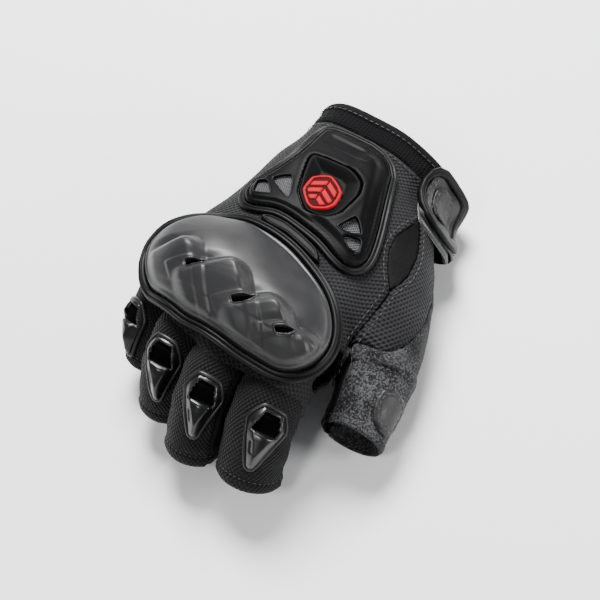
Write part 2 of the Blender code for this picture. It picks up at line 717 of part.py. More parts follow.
for finger, points in FINGERS.items():
    centre, ahead = root_plane(points, FINGER_ROOT[finger])
    ahead = np.array([0, ahead[1], ahead[2]]) / math.hypot(ahead[1], ahead[2])
    up = np.array([0, -ahead[2], ahead[1]])
    axis = centre - up * AXIS_DROP + ahead * AXIS_AHEAD
    hinge = joint(f"{finger}_axis", axis)
    length = np.linalg.norm(np.diff(curve_at(points, np.linspace(0, 1, 30))[:, :3], axis=0), axis=1).sum()

    def strip(name, look, first, last, steps):
        angles = np.linspace(first, last, steps + 1)
        rows = []
        for share in np.linspace(0, 1, 7):
            lean = (1 - np.cos(np.radians(angles))) / 2
            start = FINGER_ROOT[finger] + (4.4 + 5.0 * lean) / length
            along = start + (1.0 - start) * share
            rows.append(finger_chart(finger, along, angles, np.zeros(len(angles))))
        bm = grid_surface(rows)
        face_outwards(bm, centre + ahead * 18 - up * 4)
        finish(f"{finger}_{name}", thicken(bm, FABRIC), look, hinge)

    left = -114 if finger == "index" else -62
    right = 88 if finger == "little" else 62
    strip("back", "air_mesh", left, right, 6)
    strip("palm", "suede", 108 if finger != "little" else 92, 252 if finger != "index" else 242, 6)
    if finger != "index":
        strip("side_thumbward", "stretch", -104, -66, 3)
    if finger != "little":
        strip("side_littleward", "stretch", 66, 104, 3)

    roll, first, size, lean = FINGER_GUARDS[finger]
    outline = np.array([(-4.2, 0), (4.2, 0), (8.0, 5.5), (1.3, 21), (-1.3, 21), (-8.0, 5.5)]) * size
    outline += np.stack([lean * (outline[:, 1] - 10), np.full(6, first)], axis=1)

    def guard_chart(q, height, finger=finger, roll=roll, length=length):
        r = curve_at(FINGERS[finger], np.full(len(q), 0.7))[:, 3]
        return finger_chart(finger, FINGER_ROOT[finger] + q[:, 1] / length, roll + np.degrees(q[:, 0] / r), height)

    line = rounded(outline, 14, 1)
    finish(f"{finger}_guard_welt", shell(guard_chart, shifted(line, 1.2), (1.0, 0.5), constant(1.4),
                                         constant(LIFT)), "rubber", hinge)

    def crown(p, share, first=first):
        ridge = 3.6 - 0.35 * np.abs(p[:, 0])
        scoop = 1.6 * np.exp(-((p[:, 1] - first - 5) / 3.2) ** 2) * np.exp(-(p[:, 0] / 3.5) ** 2)
        return 1.8 + (ridge - scoop) * min(1.0, 3.5 * (1 - share)) + 0.3

    finish(f"{finger}_guard", shell(guard_chart, shifted(line, -0.4), (1.0, 0.85, 0.6, 0.3), crown, constant(1.7)),
           "gloss_shell", hinge)

# thumb
centre, ahead = root_plane(THUMB, THUMB_ROOT)
thumb_hinge = joint("thumb_axis", centre + ahead * 2.5)
thumb_length = np.linalg.norm(np.diff(curve_at(THUMB, np.linspace(0, 1, 30))[:, :3], axis=0), axis=1).sum()


def thumb_strip(name, look, first, last, steps):
    angles = np.linspace(first, last, steps + 1)
    crotch = np.maximum(0, np.sin(np.radians(angles))) ** 2
    start = THUMB_ROOT + (5.4 + 11.5 * crotch) / thumb_length
    rows = []
    for share in np.linspace(0, 1, 6):
        along = start + (0.985 - start) * share
        rows.append(thumb_chart(along, angles, np.zeros(len(angles))))
    bm = grid_surface(rows)
    face_outwards(bm, centre + ahead * 14)
    finish(name, thicken(bm, FABRIC), look, thumb_hinge)


thumb_strip("thumb_back", "suede", -118, 38, 9)
thumb_strip("thumb_inner", "stretch", 44, 112, 4)
thumb_strip("thumb_palm", "suede", 116, 238, 6)


def thumb_patch_chart(q, height):
    return thumb_chart(THUMB_ROOT + q[:, 1] / thumb_length, q[:, 0] / 14 * 57.3, height)


patch = rounded([(-22, 9), (-8, 7.5), (-6, 16), (-10, 24), (-22, 24)], 16, 1)
finish("thumb_patch", shell(thumb_patch_chart, patch, (1.0, 0.6, 0.3), constant(1.1), constant(LIFT)), "leather",
       thumb_hinge)

# wrist strap: sewn under the wrist on the thumb side, pressed down on the back
STRAP_BASE = 128      # degrees round the wrist where it is sewn
strap_hinge = joint("strap_axis", wrist_chart([(STRAP_BASE, -13.0)], np.array([1.6]))[0])


def strap_chart(q, height):
    """Round the wrist as the strap lies, standing off where it leaves the cuff's side."""
    return wrist_chart(q, height + 6.5 * np.exp(-((np.asarray(q)[:, 0] - 103) / 15) ** 2))


def strap_piece(name, look, y_low, y_high, first, last, steps, low, high):
    angles = np.linspace(first, last, steps + 1)
    rows = []
    for y in np.linspace(y_low, y_high, 7):
        q = np.stack([angles, np.full(len(angles), y)], axis=1)
        rows.append(strap_chart(q, np.full(len(angles), float(high))))
    bm = grid_surface(rows)
    face_outwards(bm, (-10, -13, 20))
    finish(name, thicken(bm, high - low), look, strap_hinge)


strap_piece("strap", "leather", -30, -1, 56, 125, 18, 2.7, 3.9)
strap_piece("strap_hook", "hook_loop", -25, -5, 61, 84, 4, 1.7, 2.3)
TAB = [(47, -30), (54, 0), (96, -1), (102, -7), (102, -24), (96, -31)]
TAB_INSIDE = [(53, -26), (59, -4.5), (91, -5), (95, -9), (95, -22), (91, -27)]
LABEL = [(66, -23.5), (69, -8), (85, -8), (88, -12), (88, -20), (85, -24)]
finish("strap_frame", band(strap_chart, rounded(TAB, 48, 2), rounded(TAB_INSIDE, 48, 2), 4.9, 6.2), "rubber", strap_hinge)
finish("strap_label", shell(strap_chart, rounded(LABEL, 18, 1), (1.0, 0.66, 0.33), constant(5.2), constant(4.5)), "leather",
       strap_hinge)


def wrist_patch(name, look, first, last, y_low, y_high, low, high, steps=5):
    angles = np.linspace(first, last, steps + 1)
    rows = []
    for y in np.linspace(y_low, y_high, 7):
        q = np.stack([angles, np.full(len(angles), y)], axis=1)
        rows.append(wrist_chart(q, np.full(len(angles), float(high))))
    bm = grid_surface(rows)
    face_outwards(bm, (-10, (y_low + y_high) / 2, 20))
    finish(name, thicken(bm, high - low), look)


wrist_patch("strap_loop", "hook_loop", 60, 106, -26, 1, LIFT, 1.4)
wrist_patch("strap_base", "leather", 130, 144, -29, 3, LIFT, 1.7, 3)
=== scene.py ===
"""Looks for the half-finger riding glove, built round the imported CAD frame.

Lengths are in millimetres until put() makes each piece in metres.
"""
import math

import bmesh
import bpy
import numpy as np
from mathutils import Matrix, Vector

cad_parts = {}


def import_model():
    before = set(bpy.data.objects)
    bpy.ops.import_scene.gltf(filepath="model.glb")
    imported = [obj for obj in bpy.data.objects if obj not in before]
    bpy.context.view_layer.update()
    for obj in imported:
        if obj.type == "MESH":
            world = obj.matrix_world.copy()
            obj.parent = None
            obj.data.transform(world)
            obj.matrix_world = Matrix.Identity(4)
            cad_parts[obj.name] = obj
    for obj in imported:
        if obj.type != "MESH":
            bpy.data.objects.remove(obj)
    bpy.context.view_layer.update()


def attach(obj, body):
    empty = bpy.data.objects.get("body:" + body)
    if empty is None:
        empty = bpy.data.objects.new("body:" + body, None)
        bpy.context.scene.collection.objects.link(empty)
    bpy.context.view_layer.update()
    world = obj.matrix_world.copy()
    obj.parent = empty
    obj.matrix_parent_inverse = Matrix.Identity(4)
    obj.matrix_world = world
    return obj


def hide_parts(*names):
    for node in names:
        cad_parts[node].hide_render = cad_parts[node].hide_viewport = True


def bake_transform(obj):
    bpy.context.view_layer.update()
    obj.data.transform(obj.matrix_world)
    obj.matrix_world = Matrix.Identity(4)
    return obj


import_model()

MM = 0.001
DATUM = Vector((-4, 8, -1.2))   # the part's origin in the form's own millimetres
LIFT = 0.8
FABRIC = 1.0
CUFF_END = -32.0
BINDING = 4.0
CUFF_KNIT = -20.0
SKIN_STEP = 1.5                  # face size of the hand's fabric

# limb: two ends, each x, y, z, radius
WRIST = [
    ((-5, -50, 23, 18), (-10, 8, 24, 20)),
    ((12, -50, 23, 19), (12, 8, 24, 20)),
    ((-20, -50, 18, 13.5), (-21, 5, 20, 14.5)),
]
PALM = [
    ((-16, 8, 25, 20), (-33, 78, 37, 15.5)),
    ((-4, 8, 27, 20), (-10.5, 80, 39, 15.5)),
    ((8, 8, 26, 20), (12, 73, 37.5, 15)),
    ((16, 8, 23, 18), (32, 63, 31, 13.5)),
]
# knuckle, middle and end of each finger
FINGERS = {
    "index": ((-33, 78, 37, 15.5), (-37, 105, 31, 14), (-40.5, 125, 13, 13)),
    "middle": ((-10.5, 80, 39, 15.5), (-12, 108, 33.5, 12.8), (-14, 126, 12, 12)),
    "ring": ((12, 73, 37.5, 15), (11, 100, 32.5, 12.2), (8.5, 116, 10.5, 11)),
    "little": ((32, 63, 31, 13.5), (31.5, 87, 26.5, 11.2), (28, 102, 10.5, 10.2)),
}
THUMB = ((-33, 12, 22, 17.5), (-56.5, 52, 18.5, 16), (-66.5, 92, 14.5, 13))
FINGER_ROOT = {"index": 0.40, "middle": 0.40, "ring": 0.42, "little": 0.44}
FINGER_WALLS = {"index": (-70, -25.4), "middle": (-24.6, -1.2), "ring": (-0.4, 19.6), "little": (20.4, 60)}
# roll from the finger's back, start beyond the root, size and sideways lean of each finger guard
FINGER_GUARDS = {"index": (-32, 3.2, 1.0, 0.12), "middle": (-22, 2.6, 0.95, -0.05),
                 "ring": (-10, 2.6, 0.95, -0.12), "little": (22, 4.6, 0.82, -0.15)}
THUMB_ROOT = 0.66


# ---------------------------------------------------------------- form
def smooth_min(a, b, k):
    h = np.clip(0.5 + 0.5 * (b - a) / k, 0, 1)
    return b + (a - b) * h - k * h * (1 - h)


def cone_distance(p, a, b):
    start = np.array(a[:3], float)
    along = np.array(b[:3], float) - start
    h = np.clip(((p - start) @ along) / (along @ along), 0, 1)
    return np.linalg.norm(p - start - h[:, None] * along, axis=1) - (a[3] + (b[3] - a[3]) * h)


def curve_at(points, t):
    """Parabola through three centres: x, y, z, radius at fraction t."""
    p = np.array(points, float)
    first = np.linalg.norm(p[1, :3] - p[0, :3])
    m = first / (first + np.linalg.norm(p[2, :3] - p[1, :3]))
    t = np.atleast_1d(np.asarray(t, float))[:, None]
    return (t - m) * (t - 1) / m * p[0] + t * (t - 1) / (m * (m - 1)) * p[1] + t * (t - m) / (1 - m) * p[2]


def limb_distance(p, points):
    c = curve_at(points, np.linspace(0, 1.15, 10))
    return np.min([cone_distance(p, c[i], c[i + 1]) for i in range(len(c) - 1)], axis=0)


def palm_distance(p):
    d = cone_distance(p, *PALM[0])
    for limb in PALM[1:] + WRIST:
        d = smooth_min(d, cone_distance(p, *limb), 10)
    return d


def hand_distance(p):
    d = smooth_min(palm_distance(p), limb_distance(p, THUMB), 14)
    for points in FINGERS.values():
        d = smooth_min(d, limb_distance(p, points), 6)
    return d


def cover_distance(p):
    """The back of the hand as stiff pieces see it, bridging the dips between knuckles."""
    d = smooth_min(palm_distance(p), limb_distance(p, THUMB), 14)
    for points in FINGERS.values():
        d = smooth_min(d, limb_distance(p, points), 18)
    return d


def finger_distance(p, name):
    low, high = FINGER_WALLS[name]
    d = smooth_min(palm_distance(p), limb_distance(p, FINGERS[name]), 6)
    return np.maximum(d, np.maximum(low - p[:, 0], p[:, 0] - high))


def thumb_distance(p):
    return smooth_min(palm_distance(p), limb_distance(p, THUMB), 14)


def gradient(field, p):
    g = np.empty_like(p)
    for k in range(3):
        d = np.zeros(3)
        d[k] = 0.05
        g[:, k] = (field(p + d) - field(p - d)) / 0.1
    return g


def cast(field, start, direction, near, far):
    """Where rays meet the field's surface, walking outwards from inside."""
    a = np.full(len(start), float(near))
    b = np.full(len(start), float(far))
    for _ in range(26):
        m = (a + b) / 2
        inside = field(start + direction * m[:, None]) < 0
        a = np.where(inside, m, a)
        b = np.where(inside, b, m)
    return a


def raised(field, on_surface, ray, height):
    """Move points off the surface, halfway between the ray and the true normal."""
    normal = gradient(field, on_surface)
    normal /= np.linalg.norm(normal, axis=1)[:, None]
    lean = ray + normal
    lean /= np.linalg.norm(lean, axis=1)[:, None]
    return on_surface + lean * np.asarray(height)[:, None]


# ---------------------------------------------------------------- charts: (across, along, height) to x, y, z
def back_chart(st, height):
    """Over the back of the hand: rays fan out from a line under the palm."""
    st = np.asarray(st, float)
    angle = st[:, 0] / 60
    ray = np.stack([np.sin(angle), np.zeros(len(st)), np.cos(angle)], axis=1)
    start = np.stack([np.zeros(len(st)), st[:, 1], np.full(len(st), -22.0)], axis=1)
    reach = cast(cover_distance, start + ray * 40, ray, 0, 60) + 40
    return raised(cover_distance, start + ray * reach[:, None], ray, height)


def palm_chart(xy, height):
    """Under the palm: straight down."""
    xy = np.asarray(xy, float)
    start = np.stack([xy[:, 0], xy[:, 1], np.full(len(xy), 24.0)], axis=1)
    ray = np.tile([0.0, 0.0, -1.0], (len(xy), 1))
    reach = cast(hand_distance, start, ray, 0, 40)
    return raised(hand_distance, start + ray * reach[:, None], ray, height)


def wrist_chart(sy, height):
    """Round the wrist from the back (0) over the thumb side: degrees, along."""
    sy = np.asarray(sy, float)
    angle = np.radians(sy[:, 0])
    ray = np.stack([-np.sin(angle), np.zeros(len(sy)), np.cos(angle)], axis=1)
    start = np.stack([np.full(len(sy), -10.0), sy[:, 1], np.full(len(sy), 20.0)], axis=1)
    reach = cast(hand_distance, start, ray, 0, 50)
    return raised(hand_distance, start + ray * reach[:, None], ray, height)


def tube_frame(points, t):
    c = curve_at(points, t)[:, :3]
    ahead = curve_at(points, np.asarray(t) + 0.01)[:, :3] - curve_at(points, np.asarray(t) - 0.01)[:, :3]
    return c, ahead / np.linalg.norm(ahead, axis=1)[:, None]


def finger_chart(name, along, angle, height):
    """Round a finger: fraction along, degrees from its back (positive to the little side), height."""
    centre, ahead = tube_frame(FINGERS[name], along)
    side = np.tile([1.0, 0.0, 0.0], (len(centre), 1))
    up = np.cross(side, ahead)
    up /= np.linalg.norm(up, axis=1)[:, None]
    a = np.radians(angle)[:, None]
    ray = side * np.sin(a) + up * np.cos(a)
    reach = cast(lambda p: finger_distance(p, name), centre, ray, 0, 26)
    return centre + ray * (reach + height)[:, None]


def thumb_chart(along, angle, height):
    centre, ahead = tube_frame(THUMB, along)
    side = np.tile([1.0, 0.0, 0.0], (len(centre), 1))
    up = np.cross(side, ahead)
    up /= np.linalg.norm(up, axis=1)[:, None]
    side = np.cross(ahead, up)
    a = np.radians(angle)[:, None]
    ray = side * np.sin(a) + up * np.cos(a)
    reach = np.minimum(cast(thumb_distance, centre, ray, 0, 24), curve_at(THUMB, along)[:, 3] * 1.03)
    return centre + ray * (reach + height)[:, None]


def grid_surface(points, closed=False):
    """Open surface from rows of points; closed joins each row's end to its start."""
    bm = bmesh.new()
    rows = [[bm.verts.new(p) for p in row] for row in points]
    count = len(rows[0])
    for low, high in zip(rows, rows[1:]):
        for i in range(count if closed else count - 1):
            j = (i + 1) % count
            bm.faces.new((low[i], low[j], high[j], high[i]))
    return bm


def face_outwards(bm, centre):
    """Wind an open surface so its normals point away from a centre."""
    bmesh.ops.recalc_face_normals(bm, faces=bm.faces[:])
    bm.normal_update()
    middle = Vector(centre)
    lean = sum((f.calc_center_median() - middle).dot(f.normal) * f.calc_area() for f in bm.faces)
    if lean < 0:
        bmesh.ops.reverse_faces(bm, faces=bm.faces[:])


def shifted(outline, distance):
    """Outline moved outwards (positive) or inwards by its corner bisectors."""
    p = np.asarray(outline, float)
    before = np.roll(p, 1, axis=0)
    after = np.roll(p, -1, axis=0)
    area = 0.5 * np.sum(p[:, 0] * after[:, 1] - after[:, 0] * p[:, 1])
    turn = 1.0 if area > 0 else -1.0
    e1 = (p - before) / np.linalg.norm(p - before, axis=1)[:, None]
    e2 = (after - p) / np.linalg.norm(after - p, axis=1)[:, None]
    n1 = np.stack([e1[:, 1], -e1[:, 0]], axis=1) * turn
    n2 = np.stack([e2[:, 1], -e2[:, 0]], axis=1) * turn
    n = n1 + n2
    n /= np.maximum(np.linalg.norm(n, axis=1), 1e-6)[:, None]
    stretch = np.clip(1 / np.maximum(np.sum(n * n1, axis=1), 0.5), 1, 1.6)
    return p + n * (distance * stretch)[:, None]


def rounded(outline, count, soften=2):
    """Outline resampled to even steps with its corners eased."""
    p = np.asarray(outline, float)
    for _ in range(soften):
        q = np.roll(p, -1, axis=0)
        p = np.stack([p * 0.75 + q * 0.25, p * 0.25 + q * 0.75], axis=1).reshape(-1, 2)
    q = np.vstack([p, p[:1]])
    run = np.concatenate([[0], np.cumsum(np.linalg.norm(np.diff(q, axis=0), axis=1))])
    at = np.linspace(0, run[-1], count, endpoint=False)
    return np.stack([np.interp(at, run, q[:, 0]), np.interp(at, run, q[:, 1])], axis=1)


def loft(loops, cap_start=True, cap_end=True, ring=False):
    """Closed solid through loops of equal count."""
    bm = bmesh.new()
    rows = [[bm.verts.new(p) for p in loop] for loop in loops]
    pairs = list(zip(rows, rows[1:]))
    if ring:
        pairs.append((rows[-1], rows[0]))
    for low, high in pairs:
        for i in range(len(low)):
            j = (i + 1) % len(low)
            bm.faces.new((low[i], low[j], high[j], high[i]))
    for wanted, row in ((cap_start and not ring, rows[0]), (cap_end and not ring, rows[-1])):
        if wanted:
            centre = sum((v.co for v in row), Vector()) / len(row)
            hub = bm.verts.new(centre)
            for i in range(len(row)):
                bm.faces.new((row[i], row[(i + 1) % len(row)], hub))
    return bm


def edge_distance(outline, p):
    """Distance from points to a closed outline, positive inside."""
    a = np.asarray(outline, float)
    b = np.roll(a, -1, axis=0)
    run = b - a
    rel = p[:, None, :] - a[None]
    share = np.clip((rel * run).sum(axis=2) / (run * run).sum(axis=1), 0, 1)
    near = np.linalg.norm(rel - share[..., None] * run, axis=2).min(axis=1)
    cross = (a[None, :, 1] > p[:, 1:2]) != (b[None, :, 1] > p[:, 1:2])
    height = np.where(np.abs(run[:, 1]) < 1e-9, 1e-9, run[:, 1])
    left = p[:, 0:1] < a[None, :, 0] + (p[:, 1:2] - a[None, :, 1]) / height * run[:, 0]
    inside = (cross & left).sum(axis=1) % 2 == 1
    return np.where(inside, near, -near)


def clip(bm, field, snap=0.25):
    """Keep the part of an open surface where field(points) is positive."""
    bm.verts.ensure_lookup_table()
    value = dict(zip(bm.verts, field(np.array([v.co[:] for v in bm.verts]))))
    for v in value:
        if abs(value[v]) < snap:
            value[v] = 0.0
    for edge in bm.edges[:]:
        a, b = edge.verts
        if value[a] * value[b] < 0:
            share = value[a] / (value[a] - value[b])
            _, made = bmesh.utils.edge_split(edge, a, share)
            value[made] = 0.0
    for face in bm.faces[:]:
        while True:
            zero = [v for v in face.verts if value[v] == 0.0]
            signs = {value[v] > 0 for v in face.verts if value[v] != 0.0}
            if len(signs) < 2 or len(zero) < 2:
                break
            ring = list(face.verts)
            ends = [z for z in zero if value[ring[(ring.index(z) + 1) % len(ring)]] != 0.0
                    or value[ring[ring.index(z) - 1]] != 0.0]
            first, second = ends[0], ends[-1]
            if abs(ring.index(first) - ring.index(second)) in (1, len(ring) - 1):
                break
            face, _ = bmesh.utils.face_split(face, first, second)
    dropped = []
    for face in bm.faces:
        total = sum(value[v] for v in face.verts)
        if total <= 0:
            dropped.append(face)
    bmesh.ops.delete(bm, geom=dropped, context="FACES")
    return bm


def biggest_piece(bm):
    """Drop stray islands."""
    seen = set()
    groups = []
    for start in bm.faces:
        if start in seen:
            continue
        stack = [start]
        seen.add(start)
        group = []
        while stack:
            face = stack.pop()
            group.append(face)
            for edge in face.edges:
                for other in edge.link_faces:
                    if other not in seen:
                        seen.add(other)
                        stack.append(other)
        groups.append(group)
    keep = set(max(groups, key=len))
    bmesh.ops.delete(bm, geom=[f for f in bm.faces if f not in keep], context="FACES")
    return bm


def root_plane(points, t):
    """Point and direction where a tube starts."""
    centre, ahead = tube_frame(points, [t])
    return centre[0], ahead[0]


def finger_root_side(p):
    """Positive on the hand's side of the finger openings."""
    names = list(FINGERS)
    centres = [root_plane(FINGERS[n], FINGER_ROOT[n]) for n in names]
    order = np.argsort([c[0][0] for c in centres])
    xs = [centres[i][0][0] for i in order]
    y = np.interp(p[:, 0], xs, [centres[i][0][1] for i in order])
    z = np.interp(p[:, 0], xs, [centres[i][0][2] for i in order])
    tilt = np.interp(p[:, 0], xs, [math.atan2(-centres[i][1][2], centres[i][1][1]) for i in order])
    return (y - p[:, 1]) * np.cos(tilt) - (z - p[:, 2]) * np.sin(tilt)


def thumb_root_side(p):
    centre, ahead = root_plane(THUMB, THUMB_ROOT)
    inside = (centre - p) @ ahead
    away = p[:, 0] + 48.0 + (p[:, 1] - 75) * 0.12
    return np.where(away > 0, np.maximum(inside, away * 3), inside)


def ridge(x, middle, width):
    """A smooth bump of height 1."""
    return np.exp(-((x - middle) / width) ** 2)


def level(height):
    """A moulding's surface at one height."""
    return lambda p, depth: np.full(len(p), float(height))


def step(x, low, high):
    t = np.clip((x - low) / (high - low), 0, 1)
    return t * t * (3 - 2 * t)


def seam_height(p):
    """Positive on the back of the hand, negative on the palm."""
    thumb_side = np.interp(p[:, 1], [-40, 62, 70, 80, 100], [0.6, 34.3, 31, 18, 14])
    little_side = 22 + 0.12 * p[:, 1]
    w = step(p[:, 0], -12, 12)
    return p[:, 2] - (thumb_side * (1 - w) + little_side * w)


def fan(p):
    return 60 * np.arctan2(p[:, 0], p[:, 2] + 22)


def web_seam_at(y):
    """Fan position of the seam between the back panel and the thumb web."""
    return np.interp(y, [-20, 4, 20, 36, 64, 78], [-35, -37, -38.5, -42, -43, -50])


def leaf_width(y):
    """Half width of the stretch gusset, which lies along that seam."""
    return 5.4 * np.sin(np.clip((y + 2) / 38, 0, 1) * math.pi) - 0.3


def web_seam(p):
    """Positive on the back panel, negative on the thumb web."""
    return fan(p) - web_seam_at(p[:, 1])


def leaf(p):
    """Positive inside the stretch gusset."""
    return leaf_width(p[:, 1]) - np.abs(web_seam(p))


def crest_place(p, outer, toe):
    """Distance along a crest from its outer end, distance in front of it, and its length."""
    run = np.subtract(toe, outer)
    length = math.hypot(*run)
    run = run / length
    rel = p - np.array(outer)
    return rel @ run, rel @ np.array([run[1], -run[0]]) * -1, length


def strap_chart(q, height):
    """Round the wrist as the strap lies, standing off where it leaves the cuff's side."""
    return wrist_chart(q, height + 6.5 * np.exp(-((np.asarray(q)[:, 0] - 103) / 15) ** 2))


GUARD = [(13, 45), (-1.3, 45), (-15.5, 49.5), (-26, 56.5), (-33, 66), (-36.5, 76), (-36, 86.5), (-32.5, 94),
         (-29, 96.7), (-22.5, 97), (-15.5, 97.2), (-9, 96.4), (-2, 95.4), (4.2, 95.3), (10.6, 93.5), (17, 91.8),
         (25, 89.5), (31, 83.5), (35.5, 74.5), (32, 63.5), (25, 52.5)]
CRESTS = (((24, 79), (13, 72), 4.4, 5.5), ((9.5, 84.2), (-4.3, 73.8), 6.2, 6.8),
          ((-9.5, 88.6), (-19.8, 78.4), 6.2, 6.0), ((-23.5, 89), (-31.5, 81.5), 3.0, 4.6))
PLATE = [(13, -15.5), (-15.5, -16.5), (-22.5, 5), (-28.5, 23), (-30.5, 34), (-27, 40.5), (-22.5, 40),
         (-15.5, 36.5), (-8, 34.8), (0, 33.2), (6, 33.2), (13, 36), (18, 35.5), (22.5, 28), (19, 21), (13, 6),
         (14, -6), (14.5, -12)]
POCKET = [(8.5, 3), (-8, 2), (-13.5, 5), (-15.5, 11), (-14.5, 23.5), (-11.5, 28.5), (-4.5, 30), (2.5, 23),
          (5.5, 14)]
BADGE = [(1.3, 21), (1.6, 13.5), (-3.8, 9.5), (-10.2, 14), (-11, 20.5), (-9.6, 24), (-5.8, 27), (-3.2, 26)]
WINDOWS = ([(13.5, 21.5), (8.3, 17), (3.4, 27.8)], [(17.6, 25.2), (14.8, 24), (10.5, 29), (15.8, 30.8)],
           [(-17, 29), (-19.2, 20.5), (-23.4, 26), (-20.4, 28.2)],
           [(-20.2, 31), (-24.6, 28.3), (-26, 33.5), (-23.6, 34)])
SHEET = [(19.5, 27), (16, 20.5), (9, 14.5), (-18, 17), (-25.5, 24), (-27.5, 34), (-24, 36.2), (-16, 33),
         (-1, 30), (13, 33), (17.5, 32.5)]
STRIP = [(9, 38.9), (5, 36.9), (-1, 36.9), (-8, 38.6), (-15.5, 41), (-19.5, 46.5), (-12.5, 44.2), (-3, 41.2),
         (5, 41.2)]
HEEL = [(-17, -11), (18, -13), (26, 6), (22, 30), (2, 33), (-22, 31), (-33, 17), (-19, 8)]
PALM_PATCH = [(-26, 44), (-4, 47), (20, 45), (33, 42), (35, 56), (22, 66), (0, 70), (-22, 68), (-30, 58)]
TAB = [(47, -30), (54, 0), (96, -1), (102, -7), (102, -24), (96, -31)]
TAB_INSIDE = [(53, -26), (59, -4.5), (91, -5), (95, -9), (95, -22), (91, -27)]
LABEL = [(66, -23.5), (69, -8), (85, -8), (88, -12), (88, -20), (85, -24)]


# ---------------------------------------------------------------- materials
def scaled(colour, amount):
    return tuple(c * amount for c in colour)


def node(tree, kind, **settings):
    made = tree.nodes.new(kind)
    for key, value in settings.items():
        setattr(made, key, value)
    return made


class Look:
    """A Principled material with a few helpers for building its colour, roughness and bump."""

    def __init__(self, name, colour, roughness, metallic=0.0, coat=0.0, coat_roughness=0.1, sheen=0.0,
                 sheen_roughness=0.5, specular=0.5):
        self.material = bpy.data.materials.new(name)
        self.material.use_nodes = True
        self.tree = self.material.node_tree
        self.shader = self.tree.nodes["Principled BSDF"]
        for key, value in (("Base Color", (*colour, 1)), ("Roughness", roughness), ("Metallic", metallic),
                           ("Coat Weight", coat), ("Coat Roughness", coat_roughness), ("Sheen Weight", sheen),
                           ("Sheen Roughness", sheen_roughness), ("Specular IOR Level", specular)):
            self.shader.inputs[key].default_value = value
        self.colour = colour
        self.bumps = []

    def link(self, a, b):
        self.tree.links.new(a, b)

    def uv(self):
        return node(self.tree, "ShaderNodeUVMap", uv_map="cloth").outputs["UV"]

    def place(self):
        return node(self.tree, "ShaderNodeTexCoord").outputs["Object"]

    def math(self, op, a, b=None, c=None):
        made = node(self.tree, "ShaderNodeMath", operation=op)
        for socket, value in zip(made.inputs, (a, b, c)):
            if value is None:
                continue
            if isinstance(value, (int, float)):
                socket.default_value = value
            else:
                self.link(value, socket)
        return made.outputs[0]

    def noise(self, where, scale, detail=4.0, roughness=0.6):
        made = node(self.tree, "ShaderNodeTexNoise")
        made.inputs["Scale"].default_value = scale
        made.inputs["Detail"].default_value = detail
        made.inputs["Roughness"].default_value = roughness
        self.link(where, made.inputs["Vector"])
        return made.outputs["Fac"]

    def cells(self, where, scale, feature="F1"):
        made = node(self.tree, "ShaderNodeTexVoronoi", feature=feature)
        made.inputs["Scale"].default_value = scale
        self.link(where, made.inputs["Vector"])
        return made.outputs["Distance"]

    def ramp(self, value, low, high, to_low=0.0, to_high=1.0):
        made = node(self.tree, "ShaderNodeMapRange", interpolation_type="SMOOTHSTEP")
        for name, number in (("From Min", low), ("From Max", high), ("To Min", to_low), ("To Max", to_high)):
            made.inputs[name].default_value = number
        self.link(value, made.inputs["Value"])
        return made.outputs["Result"]

    def mix(self, factor, first, second):
        made = node(self.tree, "ShaderNodeMix", data_type="RGBA")
        self.link(factor, made.inputs["Factor"])
        for socket, value in ((made.inputs[6], first), (made.inputs[7], second)):
            if isinstance(value, tuple):
                socket.default_value = (*value, 1)
            else:
                self.link(value, socket)
        return made.outputs[2]

    def paint(self, colour):
        self.link(colour, self.shader.inputs["Base Color"])

    def rough(self, value):
        self.link(value, self.shader.inputs["Roughness"])

    def bump(self, height, depth_mm, strength=1.0):
        made = node(self.tree, "ShaderNodeBump")
        made.inputs["Strength"].default_value = strength
        made.inputs["Distance"].default_value = depth_mm * MM
        self.link(height, made.inputs["Height"])
        if self.bumps:
            self.link(self.bumps[-1], made.inputs["Normal"])
        self.bumps.append(made.outputs["Normal"])
        self.link(made.outputs["Normal"], self.shader.inputs["Normal"])


def holes_pattern(look, pitch_across, pitch_along):
    """Staggered round dips on the cloth's own millimetre grid, 0 in the yarn and 1 in a hole."""
    parts = node(look.tree, "ShaderNodeSeparateXYZ")
    look.link(look.uv(), parts.inputs[0])
    across = look.math("COSINE", look.math("MULTIPLY", parts.outputs[0], 2 * math.pi / pitch_across))
    along = look.math("COSINE", look.math("MULTIPLY", parts.outputs[1], 2 * math.pi / pitch_along))
    return look.math("MULTIPLY", across, along), across, along


def air_mesh(name, colour=(0.021, 0.021, 0.023), pitch=(2.3, 2.1)):
    look = Look(name, colour, 0.75, sheen=0.03, sheen_roughness=0.4, specular=0.14)
    dips, across, along = holes_pattern(look, *pitch)
    hole = look.ramp(dips, 0.15, 0.75)
    patch = look.noise(look.place(), 45, 3)
    fibre = look.noise(look.place(), 2600, 2)
    yarn = look.mix(look.ramp(patch, 0.35, 0.7), scaled(colour, 0.75), scaled(colour, 1.55))
    yarn = look.mix(look.ramp(fibre, 0.35, 0.75), yarn, scaled(colour, 2.0))
    # The holes are painted near black: painted shade of the hollow seen through each hole.
    look.paint(look.mix(hole, yarn, (0.002, 0.002, 0.002)))
    look.rough(look.ramp(fibre, 0.2, 0.8, 0.6, 0.9))
    look.bump(look.math("MULTIPLY", dips, -1.0), 0.32)
    look.bump(fibre, 0.05, 0.6)
    return look.material


